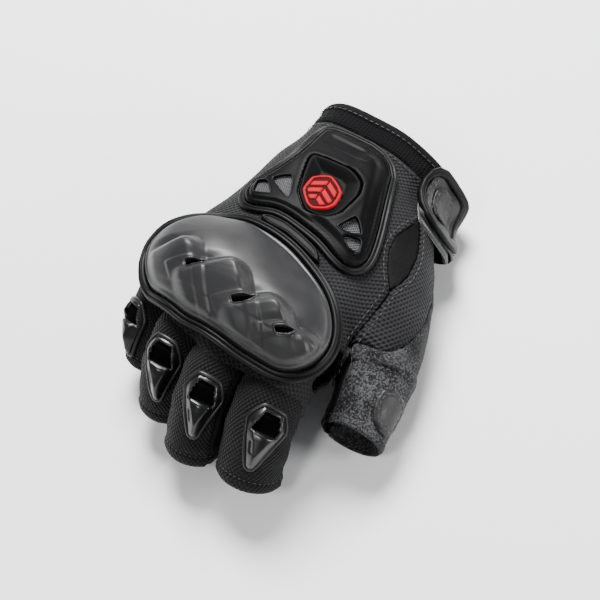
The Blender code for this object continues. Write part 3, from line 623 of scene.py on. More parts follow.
def knit(name, colour, rib=1.6):
    look = Look(name, colour, 0.85, sheen=0.0, specular=0.07)
    parts = node(look.tree, "ShaderNodeSeparateXYZ")
    look.link(look.uv(), parts.inputs[0])
    lean = look.math("MULTIPLY", look.math("ABSOLUTE", look.math("SINE", look.math(
        "MULTIPLY", parts.outputs[0], math.pi / rib))), 0.8)
    course = look.math("MULTIPLY", look.math("ADD", parts.outputs[1], lean), 2 * math.pi / 1.25)
    rows = look.math("SINE", course)
    ribs = look.math("ABSOLUTE", look.math("COSINE", look.math("MULTIPLY", parts.outputs[0], math.pi / rib)))
    height = look.math("ADD", look.math("MULTIPLY", rows, 0.45), ribs)
    fibre = look.noise(look.place(), 2400, 2)
    # Colour follows the rib height: painted shade in the hollows between ribs and rows, painted highlight on the
    # rib tops.
    shade = look.mix(look.ramp(height, 0.1, 1.2), scaled(colour, 0.35), scaled(colour, 1.5))
    look.paint(look.mix(look.ramp(fibre, 0.4, 0.8), shade, scaled(colour, 2.2)))
    look.bump(height, 0.3)
    look.bump(fibre, 0.05, 0.6)
    return look.material


def smooth_cloth(name, colour, roughness=0.6, sheen=0.0):
    look = Look(name, colour, roughness, sheen=sheen, sheen_roughness=0.35, specular=0.1)
    dips, _, _ = holes_pattern(look, 0.7, 0.7)
    crease = look.noise(look.place(), 160, 5)
    # Tone follows the random crease bump: painted shade in its hollows, painted highlight on its tops.
    look.paint(look.mix(look.ramp(crease, 0.3, 0.75), scaled(colour, 0.7), scaled(colour, 1.6)))
    look.bump(dips, 0.06, 0.8)
    look.bump(crease, 0.35, 0.5)
    return look.material


def suede(name, dark, fleck, amount=0.5):
    look = Look(name, dark, 0.92, sheen=0.05, sheen_roughness=0.5, specular=0.08)
    fine = look.noise(look.place(), 1150, 3, 0.75)
    clump = look.noise(look.place(), 120, 4)
    speck = look.ramp(look.math("ADD", fine, look.math("MULTIPLY", clump, 0.35)), 0.66 - 0.12 * amount, 0.84)
    base = look.mix(look.ramp(clump, 0.3, 0.7), scaled(dark, 0.75), scaled(dark, 1.3))
    look.paint(look.mix(speck, base, fleck))
    look.bump(fine, 0.16, 0.9)
    look.bump(clump, 0.3, 0.4)
    return look.material


def leather(name, colour, roughness=0.5, grain=900):
    look = Look(name, colour, roughness, specular=0.3)
    pebble = look.cells(look.place(), grain)
    crease = look.noise(look.place(), 220, 5)
    # Tone follows the random crease bump: painted shade in its hollows, painted highlight on its tops.
    look.paint(look.mix(look.ramp(crease, 0.3, 0.75), scaled(colour, 0.7), scaled(colour, 1.7)))
    look.rough(look.ramp(crease, 0.3, 0.8, roughness - 0.1, roughness + 0.15))
    look.bump(pebble, 0.12, 0.7)
    look.bump(crease, 0.25, 0.6)
    return look.material


def moulded(name, colour, roughness, coat=0.0, grain=0.5, wear=0.15, specular=0.5):
    look = Look(name, colour, roughness, coat=coat, coat_roughness=0.12, specular=specular)
    fine = look.noise(look.place(), 1900, 3)
    cloud = look.noise(look.place(), 60, 4)
    scuff = look.ramp(look.noise(look.place(), 420, 6, 0.7), 0.62, 0.8)
    base = look.mix(look.ramp(cloud, 0.3, 0.7), scaled(colour, 0.88), scaled(colour, 1.15))
    worn = tuple(min(1, c * 3 + 0.02) for c in colour)
    look.paint(look.mix(look.math("MULTIPLY", scuff, wear), base, worn))
    look.rough(look.math("ADD", look.ramp(cloud, 0.3, 0.7, roughness - 0.04, roughness + 0.05),
                         look.math("MULTIPLY", scuff, wear * 0.5)))
    look.bump(fine, 0.03 * grain, 0.7)
    return look.material


def hook_loop(name):
    look = Look(name, (0.012, 0.012, 0.013), 0.95, sheen=0.6)
    fuzz = look.noise(look.place(), 1500, 6, 0.8)
    look.paint(look.mix(look.ramp(fuzz, 0.4, 0.7), (0.003, 0.003, 0.003), (0.018, 0.018, 0.019)))
    look.bump(fuzz, 0.5)
    return look.material


def thread(name, colour):
    look = Look(name, colour, 0.55, sheen=0.2)
    twist = look.noise(look.place(), 3000, 2)
    look.paint(look.mix(twist, scaled(colour, 0.6), scaled(colour, 1.4)))
    look.bump(twist, 0.05)
    return look.material


AIR_MESH = air_mesh("air_mesh", (0.0095, 0.0095, 0.0103))
FINGER_MESH = air_mesh("finger_mesh", (0.0042, 0.0042, 0.0046), (1.9, 1.8))
KNIT = knit("cuff_knit", (0.0035, 0.0035, 0.0038))
STRETCH = smooth_cloth("stretch_cloth", (0.0018, 0.0018, 0.002))
BINDING_CLOTH = smooth_cloth("binding_cloth", (0.0016, 0.0016, 0.0018), 0.75)
SUEDE_THUMB = suede("suede_thumb", (0.007, 0.007, 0.0074), (0.07, 0.07, 0.073), 0.6)
SUEDE_PALM = suede("suede_palm", (0.008, 0.008, 0.0085), (0.055, 0.055, 0.057), 0.55)
LEATHER = leather("grained_leather", (0.008, 0.008, 0.0085))
STRAP_LEATHER = leather("strap_leather", (0.014, 0.014, 0.0148), 0.45, 700)
SATIN = moulded("satin_shell", (0.0115, 0.0115, 0.0122), 0.45, grain=0.5, wear=0.02, specular=0.42)
GLOSS = moulded("gloss_shell", (0.0025, 0.0025, 0.0028), 0.3, coat=0.0, grain=0.1, wear=0.0, specular=0.45)
RUBBER = moulded("moulded_rubber", (0.0025, 0.0025, 0.0028), 0.45, grain=0.8, wear=0.05, specular=0.14)
RUBBER_EDGE = moulded("rubber_edge", (0.007, 0.007, 0.0073), 0.4, grain=0.5, wear=0.05, specular=0.3)
PLATE_RUBBER = moulded("plate_rubber", (0.0025, 0.0025, 0.0028), 0.42, grain=0.6, wear=0.02, specular=0.06)
# Near-black finish for the guard's vent slots and the finger guards' scoops: painted shade inside these
# openings.
SLOT_SHADE = moulded("slot_painted_shade", (0.0006, 0.0006, 0.0006), 0.8, wear=0.0, specular=0.02)
BEZEL = moulded("bezel_black", (0.001, 0.001, 0.0011), 0.5, grain=0.2, wear=0.0, specular=0.05)
BADGE_RED = moulded("badge_red", (0.3, 0.003, 0.009), 0.55, grain=0.3, wear=0.0, specular=0.08)
BADGE_LOW = moulded("badge_low", (0.03, 0.0008, 0.0014), 0.6, grain=0.3, wear=0.0, specular=0.05)
GREY_MESH = air_mesh("window_mesh", (0.07, 0.07, 0.073), (1.0, 1.0))
HOOKS = hook_loop("hook_loop")
THREAD = thread("black_thread", (0.012, 0.012, 0.0125))


# ---------------------------------------------------------------- making pieces
def put(name, bm, material, body, slot=None, replaces=(), smooth=True, cloth=None, extra=(), merge=True):
    """Millimetre bmesh to a shown piece in metres. cloth(points) gives the weave's own coordinates."""
    if merge:
        bmesh.ops.remove_doubles(bm, verts=bm.verts[:], dist=0.004)
    bmesh.ops.recalc_face_normals(bm, faces=bm.faces[:])
    if bm.calc_volume(signed=True) < 0:
        bmesh.ops.reverse_faces(bm, faces=bm.faces[:])
    mesh = bpy.data.meshes.new(name)
    bm.to_mesh(mesh)
    bm.free()
    co = np.empty(len(mesh.vertices) * 3)
    mesh.vertices.foreach_get("co", co)
    co = co.reshape(-1, 3)
    if cloth is not None:
        layer = mesh.uv_layers.new(name="cloth")
        corner = np.empty(len(mesh.loops), int)
        mesh.loops.foreach_get("vertex_index", corner)
        layer.data.foreach_set("uv", cloth(co)[corner].astype(np.float32).ravel())
    mesh.vertices.foreach_set("co", ((co - np.array(DATUM)) * MM).ravel())
    mesh.materials.append(material)
    for other in extra:
        mesh.materials.append(other)
    if smooth:
        mesh.shade_smooth()
    mesh.update()
    made = bpy.data.objects.new(name, mesh)
    bpy.context.scene.collection.objects.link(made)
    if body:
        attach(made, body)
    if replaces:
        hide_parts(*replaces)
    return made


def eased(outline, count, cut=0.12):
    """Outline resampled to even steps with small rounds at its corners."""
    p = np.asarray(outline, float)
    for share in (cut, 0.3):
        q = np.roll(p, -1, axis=0)
        p = np.stack([p * (1 - share) + q * share, p * share + q * (1 - share)], axis=1).reshape(-1, 2)
    return rounded(p, count, 0)


def moulding(chart, outline, spacing, outer, inner, holes=(), dark=None):
    """Solid over any outline on an even grid; dark(points) above 0.5 gives those faces the second finish."""
    low, high = outline.min(axis=0) - 1, outline.max(axis=0) + 1
    across = np.linspace(low[0], high[0], int((high[0] - low[0]) / spacing) + 2)
    along = np.linspace(low[1], high[1], int((high[1] - low[1]) / spacing) + 2)
    bm = grid_surface([[(s, t, 0.0) for s in across] for t in along])
    clip(bm, lambda p: edge_distance(outline, p[:, :2]), spacing * 0.15)
    for hole in holes:
        clip(bm, lambda p, hole=hole: -edge_distance(hole, p[:, :2]), spacing * 0.15)
    biggest_piece(bm)
    bmesh.ops.delete(bm, geom=[v for v in bm.verts if not v.link_faces], context="VERTS")
    bmesh.ops.triangulate(bm, faces=[f for f in bm.faces if len(f.verts) > 4])
    flat = list(bm.verts)
    q = np.array([v.co[:2] for v in flat])
    depth = np.maximum(edge_distance(outline, q), 0)
    if dark is not None:
        shade = dict(zip(flat, dark(q)))
        for face in bm.faces:
            if sum(shade[v] for v in face.verts) > 0.5 * len(face.verts):
                face.material_index = 1
    rim = [e for e in bm.edges if len(e.link_faces) == 1]
    under = dict(zip(flat, (bm.verts.new(c) for c in chart(q, inner(q, depth)))))
    for face in bm.faces[:]:
        bm.faces.new([under[v] for v in reversed(face.verts)])
    for edge in rim:
        first, second = edge.verts
        bm.faces.new((first, second, under[second], under[first]))
    for v, c in zip(flat, chart(q, outer(q, depth))):
        v.co = c
    return bm


def thickened(bm, thickness):
    """Give an open surface its thickness inwards, with an even rim."""
    mesh = bpy.data.meshes.new("open_surface")
    bm.to_mesh(mesh)
    bm.free()
    carrier = bpy.data.objects.new("open_surface", mesh)
    bpy.context.scene.collection.objects.link(carrier)
    solid = carrier.modifiers.new("thickness", "SOLIDIFY")
    solid.thickness = thickness
    solid.offset = -1
    done = bpy.data.meshes.new_from_object(carrier.evaluated_get(bpy.context.evaluated_depsgraph_get()))
    bpy.data.objects.remove(carrier)
    bpy.data.meshes.remove(mesh)
    out = bmesh.new()
    out.from_mesh(done)
    bpy.data.meshes.remove(done)
    return out


def skin_mesh():
    """Vertices and faces of the whole hand's skin, fine enough for folds and seams."""
    bm = bmesh.new()
    limbs = PALM + WRIST
    for points in list(FINGERS.values()) + [THUMB]:
        c = curve_at(points, np.linspace(0, 1.1, 8))
        limbs = limbs + [(tuple(c[i]), tuple(c[i + 1])) for i in range(7)]
    for a, b in limbs:
        start, end = Vector(a[:3]), Vector(b[:3])
        for where, radius in ((start, a[3]), (end, b[3])):
            bmesh.ops.create_uvsphere(bm, u_segments=24, v_segments=16, radius=radius,
                                      matrix=Matrix.Translation(where))
        turn = (end - start).to_track_quat("Z", "Y").to_matrix().to_4x4()
        bmesh.ops.create_cone(bm, cap_ends=True, segments=24, radius1=a[3], radius2=b[3],
                              depth=(end - start).length,
                              matrix=Matrix.Translation((start + end) / 2) @ turn)
    mesh = bpy.data.meshes.new("limbs")
    bm.to_mesh(mesh)
    bm.free()
    carrier = bpy.data.objects.new("limbs", mesh)
    bpy.context.scene.collection.objects.link(carrier)
    remesh = carrier.modifiers.new("join", "REMESH")
    remesh.mode = "VOXEL"
    remesh.voxel_size = SKIN_STEP
    done = bpy.data.meshes.new_from_object(carrier.evaluated_get(bpy.context.evaluated_depsgraph_get()))
    bpy.data.objects.remove(carrier)
    co = np.empty(len(done.vertices) * 3)
    done.vertices.foreach_get("co", co)
    p = co.reshape(-1, 3)
    for _ in range(5):
        g = gradient(hand_distance, p)
        p = p - (hand_distance(p) / np.maximum((g * g).sum(axis=1), 0.3))[:, None] * g
    faces = [tuple(f.vertices) for f in done.polygons]
    bpy.data.meshes.remove(done)
    return p, faces


SKIN, SKIN_FACES = skin_mesh()
SKIN_FACES = np.array(SKIN_FACES)


def skin_region(fields):
    """The open surface where every field is positive."""
    keep = np.ones(len(SKIN_FACES), bool)
    for field in fields:
        value = field(SKIN)
        keep &= value[SKIN_FACES].max(axis=1) > 0
    bm = bmesh.new()
    wanted = SKIN_FACES[keep]
    used = np.unique(wanted)
    index = {int(v): bm.verts.new(SKIN[v]) for v in used}
    for f in wanted:
        bm.faces.new([index[int(v)] for v in f])
    for field in fields:
        clip(bm, field)
    biggest_piece(bm)
    bmesh.ops.delete(bm, geom=[v for v in bm.verts if not v.link_faces], context="VERTS")
    bmesh.ops.triangulate(bm, faces=[f for f in bm.faces if len(f.verts) > 4])
    return bm


def wrinkles(p):
    """How far the cloth stands off the form: folds where the thumb meets the hand, along the little-finger side
    and under the palm, and a slight slack all over.
    """
    thumb_fold = np.exp(-((p[:, 0] + 47) / 9) ** 2 - ((p[:, 1] - 62) / 16) ** 2)
    fold = 0.55 * thumb_fold * np.sin((p[:, 1] + 0.5 * p[:, 0]) / 2.1)
    side = np.exp(-((p[:, 2] - 22) / 12) ** 2) * step(p[:, 0], 18, 30) * step(p[:, 1], -18, 0)
    fold = fold + 0.5 * side * np.sin(p[:, 1] / 3.1 + p[:, 2] / 5)
    under = step(24 - p[:, 2], 8, 16) * step(p[:, 1], 20, 40)
    fold = fold + 0.4 * under * np.sin(p[:, 1] / 3.4 + 0.9 * np.sin(p[:, 0] / 9))
    slack = 0.25 * np.sin(p[:, 0] / 7.3 + p[:, 1] / 11.7) * np.sin(p[:, 1] / 8.1 - p[:, 2] / 6.3)
    return fold + slack


def settle(bm, field, seams, swell=0.0):
    """Draw the cloth in along its seams and give it its folds."""
    p = np.array([v.co[:] for v in bm.verts])
    g = gradient(field, p)
    g /= np.linalg.norm(g, axis=1)[:, None]
    away = wrinkles(p) * 0.7 + swell
    for seam in seams:
        d = seam(p)
        away = away - 0.75 * np.exp(-(d / 1.1) ** 2) + 0.22 * np.exp(-((np.abs(d) - 3.0) / 1.4) ** 2)
    p = p + g * away[:, None]
    for v, q in zip(bm.verts, p):
        v.co = q
    return bm


def beyond(y):
    return lambda p: p[:, 1] - y


def before(y):
    return lambda p: y - p[:, 1]


def minus(field, amount=0.0):
    return lambda p: -field(p) - amount


def plus(field, amount=0.0):
    return lambda p: field(p) - amount


def flat_uv(axis_u, axis_v):
    u, v = np.array(axis_u, float), np.array(axis_v, float)
    return lambda p: np.stack([p @ u, p @ v], axis=1)


def back_uv(p):
    return np.stack([60 * np.arctan2(p[:, 0], p[:, 2] + 22), p[:, 1]], axis=1)


def wrist_uv(p):
    return np.stack([26 * np.arctan2(p[:, 0] + 4, p[:, 2] - 22), p[:, 1]], axis=1)


def hand_end(p):
    """The hand's cloth runs under the guard's edge on the back, and to the finger seams below."""
    ahead = step(p[:, 2], 28, 40)
    return finger_root_side(p) - 5.0 * ahead + 0.6


def thumb_end(p):
    return thumb_root_side(p) + 0.6


EDGE = 0.12
OPEN = [hand_end, thumb_end]
PAST_CUFF = OPEN + [beyond(CUFF_KNIT + EDGE)]
SEAMS = [seam_height, web_seam, leaf]
hand_back = settle(skin_region(PAST_CUFF + [plus(seam_height, EDGE), plus(web_seam, EDGE), minus(leaf, EDGE)]),
                   hand_distance, SEAMS[:2])
put("back_cloth", thickened(hand_back, FABRIC), AIR_MESH, "hand", "air_mesh", ["back_panel"], cloth=back_uv)
web = settle(skin_region(PAST_CUFF + [plus(seam_height, EDGE), minus(web_seam, EDGE), minus(leaf, EDGE)]),
             hand_distance, SEAMS[:2])
put("thumb_web_cloth", thickened(web, FABRIC), AIR_MESH, "hand", "air_mesh", ["thumb_web"],
    cloth=flat_uv((0.5, 0.35, 0.79), (-0.35, 0.92, -0.15)))
gusset = settle(skin_region([plus(seam_height, 0.0), plus(leaf, EDGE)]), hand_distance, [], -0.5)
put("gusset_cloth", thickened(gusset, 0.8), STRETCH, "hand", "stretch", ["stretch_gusset"], cloth=back_uv)
palm = settle(skin_region(PAST_CUFF + [minus(seam_height, EDGE)]), hand_distance, SEAMS[:1])
put("palm_suede", thickened(palm, FABRIC), SUEDE_PALM, "hand", "suede", ["palm_panel"],
    cloth=flat_uv((1, 0, 0), (0, 1, 0)))


knit_band = skin_region([beyond(CUFF_END + BINDING - 0.6), before(CUFF_KNIT - EDGE)])
settle(knit_band, hand_distance, [lambda p: p[:, 1] - CUFF_KNIT], 0.15)
put("cuff_knit_band", thickened(knit_band, 1.2), KNIT, "hand", "knit", ["cuff_knit"], cloth=wrist_uv)


def rolled_edge(name, y_from, y_to, thick, material, replaced):
    """Folded binding round the wrist opening: a closed ring with a rounded section."""
    angles = np.linspace(0, 2 * math.pi, 121)[:-1]
    ray = np.stack([np.sin(angles), np.zeros(120), np.cos(angles)], axis=1)
    rings = []
    for turn in np.linspace(0, 2 * math.pi, 17)[:-1]:
        along = (y_from + y_to) / 2 - (y_to - y_from) / 2 * np.cos(turn)
        start = np.tile([-4.0, along, 22.0], (120, 1))
        reach = cast(hand_distance, start, ray, 0, 50)
        rings.append(start + ray * (reach - FABRIC / 2 + 0.2 + thick / 2 * np.sin(turn))[:, None])
    bm = loft(rings, ring=True)
    return put(name, bm, material, "hand", "binding", replaced, cloth=wrist_uv)


rolled_edge("cuff_edge", CUFF_END - 0.2, CUFF_END + BINDING + 0.4, 2.2, BINDING_CLOTH, ["cuff_binding"])
# ---- knuckle guard
guard_line = rounded(GUARD, 150, 3)
def vent_line(outer, toe, front):
    """Outline of the slot high on a crest's face."""
    run = np.subtract(toe, outer)
    length = math.hypot(*run)
    run = run / length
    across = np.array([-run[1], run[0]])
    corners = [(0.12, 0.2), (0.44, 0.2), (0.70, 0.7), (0.12, 0.7)]
    return eased([np.array(outer) + run * length * a + across * front * c for a, c in corners], 60, 0.12)


def crest(p, outer, toe, height, front):
    """A swept knuckle: broad rounded back, blunt toe, steep face with a foot line, and the lobe below."""
    along, ahead, length = crest_place(p, outer, toe)
    beyond = np.maximum(along - length + 2.0, 0) * front / 4.0
    outside = np.hypot(beyond, np.maximum(ahead + 2.0, 0)) - 2.0
    fall = np.clip(outside / front, 0, 1)
    wall = 1 - 0.55 * fall - 0.45 * step(outside, -0.5, front)
    left = step(along, -6.5, 0.5)
    back = np.exp(-(np.minimum(ahead, 0) / 13) ** 2)
    rise = height * (0.6 + 0.4 * step(along, -0.35 * length, 1.1 * length)) * left * wall * back
    edge = np.maximum(outside - front - 0.2, -4.0 - along)
    foot = 0.6 * (1 - step(edge, -0.2, 0.4)) * step(outside, 0, 1.5)
    lobe = 1.5 * np.exp(-((along - 0.4 * length) / 6.5) ** 2) * step(ahead, front, front + 4)
    return rise, foot, lobe


def vent_depth(q):
    """1 inside the three slots."""
    found = np.zeros(len(q))
    for outer, toe, _, front in CRESTS[1:]:
        found = np.maximum(found, step(edge_distance(vent_line(outer, toe, front), q), -0.25, 0.35))
    return found


def guard_skin(p, depth):
    dome = 2.0 + 4.2 * (1 - np.exp(-depth / 8))
    rise, extra = np.zeros(len(p)), np.zeros(len(p))
    for outer, toe, height, front in CRESTS:
        fin, foot, lobe = crest(p, outer, toe, height * 1.32, front * 0.85)
        rise = rise + np.maximum(fin, 0) ** 5
        extra = extra + lobe + foot
    ease = step(depth, 0, 4.0)
    rim_line = 0.35 * ridge(depth, 1.2, 0.5) - 0.35 * ridge(depth, 2.2, 0.45)
    return dome * step(depth, -1.5, 1.2) + (rise ** 0.2 + extra) * ease + rim_line


def guard_surface(p, depth):
    return guard_skin(p, depth) - 2.4 * vent_depth(p) * step(depth, 0, 4.0)


def guard_inner(p, depth):
    return LIFT + np.maximum(0, guard_surface(p, depth) - 4.6 - LIFT) * step(depth, 1, 5)


# The vent slots' faces take the near-black finish: painted shade inside the vents.
guard = moulding(back_chart, guard_line, 0.42, guard_surface, guard_inner, dark=vent_depth)
put("guard_shell", guard, SATIN, "hand", "satin_shell", ["knuckle_guard"], extra=(SLOT_SHADE,))


def tube_ring(name, outside_line, height, radius, material, body, slot, section=10):
    """A rounded bead on the back of the hand that follows a closed outline."""
    rings = []
    for turn in np.linspace(0, 2 * math.pi, section + 1)[:-1]:
        line = shifted(outside_line, radius * math.cos(turn))
        rings.append(back_chart(line, np.zeros(len(line)) + height + radius * math.sin(turn)))
    return put(name, loft(rings, ring=True), material, body, slot)


def grooved_rim(name, line, inner_gap, width, low, high, material, body, slot, replaced, chart):
    """A rubber rim with a rounded crown and a groove along it."""
    share = np.array([0, 0.0, 0.12, 0.34, 0.46, 0.54, 0.66, 0.88, 1.0, 1.0])
    lift = np.array([0, 0.55, 0.86, 1.0, 0.62, 0.62, 1.0, 0.8, 0.4, 0])
    rings = []
    for across, up in zip(share, lift):
        ring = shifted(line, inner_gap + width * across)
        rings.append(chart(ring, np.full(len(ring), low + (high - low) * up)))
    return put(name, loft(rings, ring=True), material, body, slot, replaced)


for number, (outer, toe, _, front) in enumerate(CRESTS[1:]):
    line = shifted(vent_line(outer, toe, front), 0.12)
    height = guard_skin(line, np.maximum(edge_distance(guard_line, line), 0))
    tube_ring(f"vent_lip_{number + 1}", line, height + 0.05, 0.26, SATIN, "hand", "satin_shell")
grooved_rim("guard_rim_rubber", guard_line, 0.25, 3.3, LIFT - 0.3, 3.0, RUBBER, "hand", "rubber", ["guard_rim"],
            back_chart)

# ---- back plate
plate_line = rounded(PLATE, 150, 2)
pocket_line = eased(POCKET, 90, 0.14)


def plate_surface(p, depth):
    """A flange round a raised table, whose thumb-side edge is a wide bevel; a collar round the pocket."""
    pocket = -edge_distance(pocket_line, p)
    thumb_side = step(-p[:, 0], 4, 10)
    table = 1.9 * step(depth, 3.2, 6.8) * thumb_side + 0.9 * step(depth, 1.6, 3.0) * (1 - thumb_side)
    shoulder = 2.7 + 1.2 * step(depth, 0, 1.2)
    groove = 0.45 * ridge(depth, 2.0, 0.5)
    collar = 0.15 * ridge(pocket, 1.1, 0.9)
    panel = 0.4 * step(p[:, 1], -10.5, -9.9) * (1 - step(p[:, 1], -4.6, -4.0))
    panel = panel * step(9 - np.abs(p[:, 0] + 1), 0, 0.6)
    return shoulder + table - groove + collar - panel


windows = [shifted(eased(w, 48, 0.1), 0.7) for w in WINDOWS]
plate = moulding(back_chart, plate_line, 0.6, plate_surface, level(2.2),
                 [shifted(pocket_line, 0.2)] + windows)
put("back_plate", plate, PLATE_RUBBER, "hand", "rubber", ["wrist_plate"])
grooved_rim("plate_welt_rubber", plate_line, 0.2, 3.0, LIFT - 0.3, 2.4, RUBBER, "hand", "rubber", ["plate_welt"],
            back_chart)
for number, window in enumerate(windows):
    top = float(np.median(plate_surface(window, np.maximum(edge_distance(plate_line, window), 0))))
    tube_ring(f"window_frame_{number + 1}", shifted(window, 0.1), top, 0.32, RUBBER, "hand", "rubber", section=8)

# ---- badge in its faceted pocket
badge_line = shifted(eased(BADGE, 120, 0.14), 0.6)


def bezel_surface(p, depth):
    """Flat facets that fall from the rim to a floor just under the badge."""
    inside = edge_distance(badge_line, p)
    floor = 2.4 + 0.3 * step(inside, -1.2, -0.4)
    wall = 5.0 - 0.55 * np.maximum(depth - 0.7, 0)
    return np.maximum(np.minimum(wall, 5.0), floor) - 0.6 * step(0.5 - depth, 0, 0.5)


bezel = moulding(back_chart, shifted(pocket_line, -0.15), 0.5, bezel_surface, level(1.8))
put("pocket_bezel", bezel, BEZEL, "hand", "bezel_black", ["badge_bezel"])


def badge_relief(p, depth):
    """1 on the raised border and the three plain bars, 0 in the grooves between them."""
    x, y = p[:, 0] + 4.6, p[:, 1] - 18.6
    lean = y - 0.7 * np.abs(x)
    border = 1 - step(depth, 0.95, 1.25)
    field = step(depth, 1.65, 1.95)
    bars = np.zeros(len(p))
    for middle in (-5.2, -1.2, 2.8):
        bars = np.maximum(bars, step(1.45 - np.abs(lean - middle), 0, 0.3))
    return np.maximum(border, field * bars * step(np.abs(x), 0.2, 0.45))


def badge_surface(p, depth):
    crown = 0.5 * (1 - np.exp(-depth / 2.5))
    return 4.3 + crown + 0.55 * badge_relief(p, depth) - 0.6 * step(0.35 - depth, 0, 0.35)


shield = moulding(back_chart, badge_line, 0.28, badge_surface, level(2.6),
                  dark=lambda q: 1 - badge_relief(q, np.maximum(edge_distance(badge_line, q), 0)))
put("badge_shield", shield, BADGE_RED, "hand", "badge_red", ["badge"], extra=(BADGE_LOW,))

sheet = moulding(back_chart, rounded(SHEET, 60, 1), 1.1,
                 level(3.5), level(1.2))
put("window_cloth", sheet, GREY_MESH, "hand", "grey_mesh", ["window_mesh"], cloth=back_uv)
strip = moulding(back_chart, shifted(eased(STRIP, 90, 0.15), 0.3), 0.4,
                 lambda p, depth: 1.7 + 0.45 * ridge(depth, 0.7, 0.35) - 0.5 * step(0.3 - depth, 0, 0.3),
                 level(0.2))
put("knuckle_strip_rubber", strip, PLATE_RUBBER, "hand", "rubber", ["knuckle_strip"])


def tube_uv(points, radius):
    """Arc round the tube and distance along it, in millimetres."""
    t = np.linspace(0, 1.1, 160)
    centre, ahead = tube_frame(points, t)
    run = np.concatenate([[0], np.cumsum(np.linalg.norm(np.diff(centre, axis=0), axis=1))])

    def cloth(p):
        near = np.argmin(((p[:, None, :] - centre[None]) ** 2).sum(axis=2), axis=1)
        rel = p - centre[near]
        up = np.cross(np.tile([1.0, 0, 0], (len(near), 1)), ahead[near])
        along = run[near] + (rel * ahead[near]).sum(axis=1)
        return np.stack([radius * np.arctan2(rel[:, 0], (rel * up).sum(axis=1)), along], axis=1)
    return cloth


def hem(past):
    """Height of the cloth near its open end: a doubled fold with the stitching's valley behind it."""
    return 0.45 * step(4.2 - past, 0, 1.2) - 0.35 * ridge(past, 4.0, 0.5) - 0.7 * step(0.8 - past, 0, 0.8)


def tube_panel(chart, first, last, start, stop, length, radius, rows, columns, folds, seams=(True, True)):
    """Closed panel of a tube between two angles; start may be an array over the angles."""
    angles = np.linspace(first, last, columns)
    near = np.minimum(angles - first if seams[0] else 999, last - angles if seams[1] else 999)
    arc = np.radians(near) * radius
    share = np.linspace(0, 1, rows)
    begin = start(angles)
    table = []
    for s in share:
        along = begin + (stop - begin) * s
        past = (stop - along) * length
        edge = -0.8 * np.exp(-(arc / 0.9) ** 2) + 0.2 * np.exp(-((arc - 2.4) / 1.1) ** 2)
        height = edge + hem(past) + folds(along * length, angles) * step(past, 2, 8)
        under = (along - begin) * length
        height = height - 1.3 * (1 - step(under, 0.5, 5.5))
        table.append(chart(along, angles, height))
    return grid_surface(table)


def finger_folds(y, angles):
    a = np.radians(angles)
    fine = 0.28 * np.sin(y / 1.9 + 1.3 * np.sin(a)) * (0.35 + 0.65 * np.sin(a) ** 2)
    return fine + 0.2 * np.sin(y / 4.1 - 2 * a)


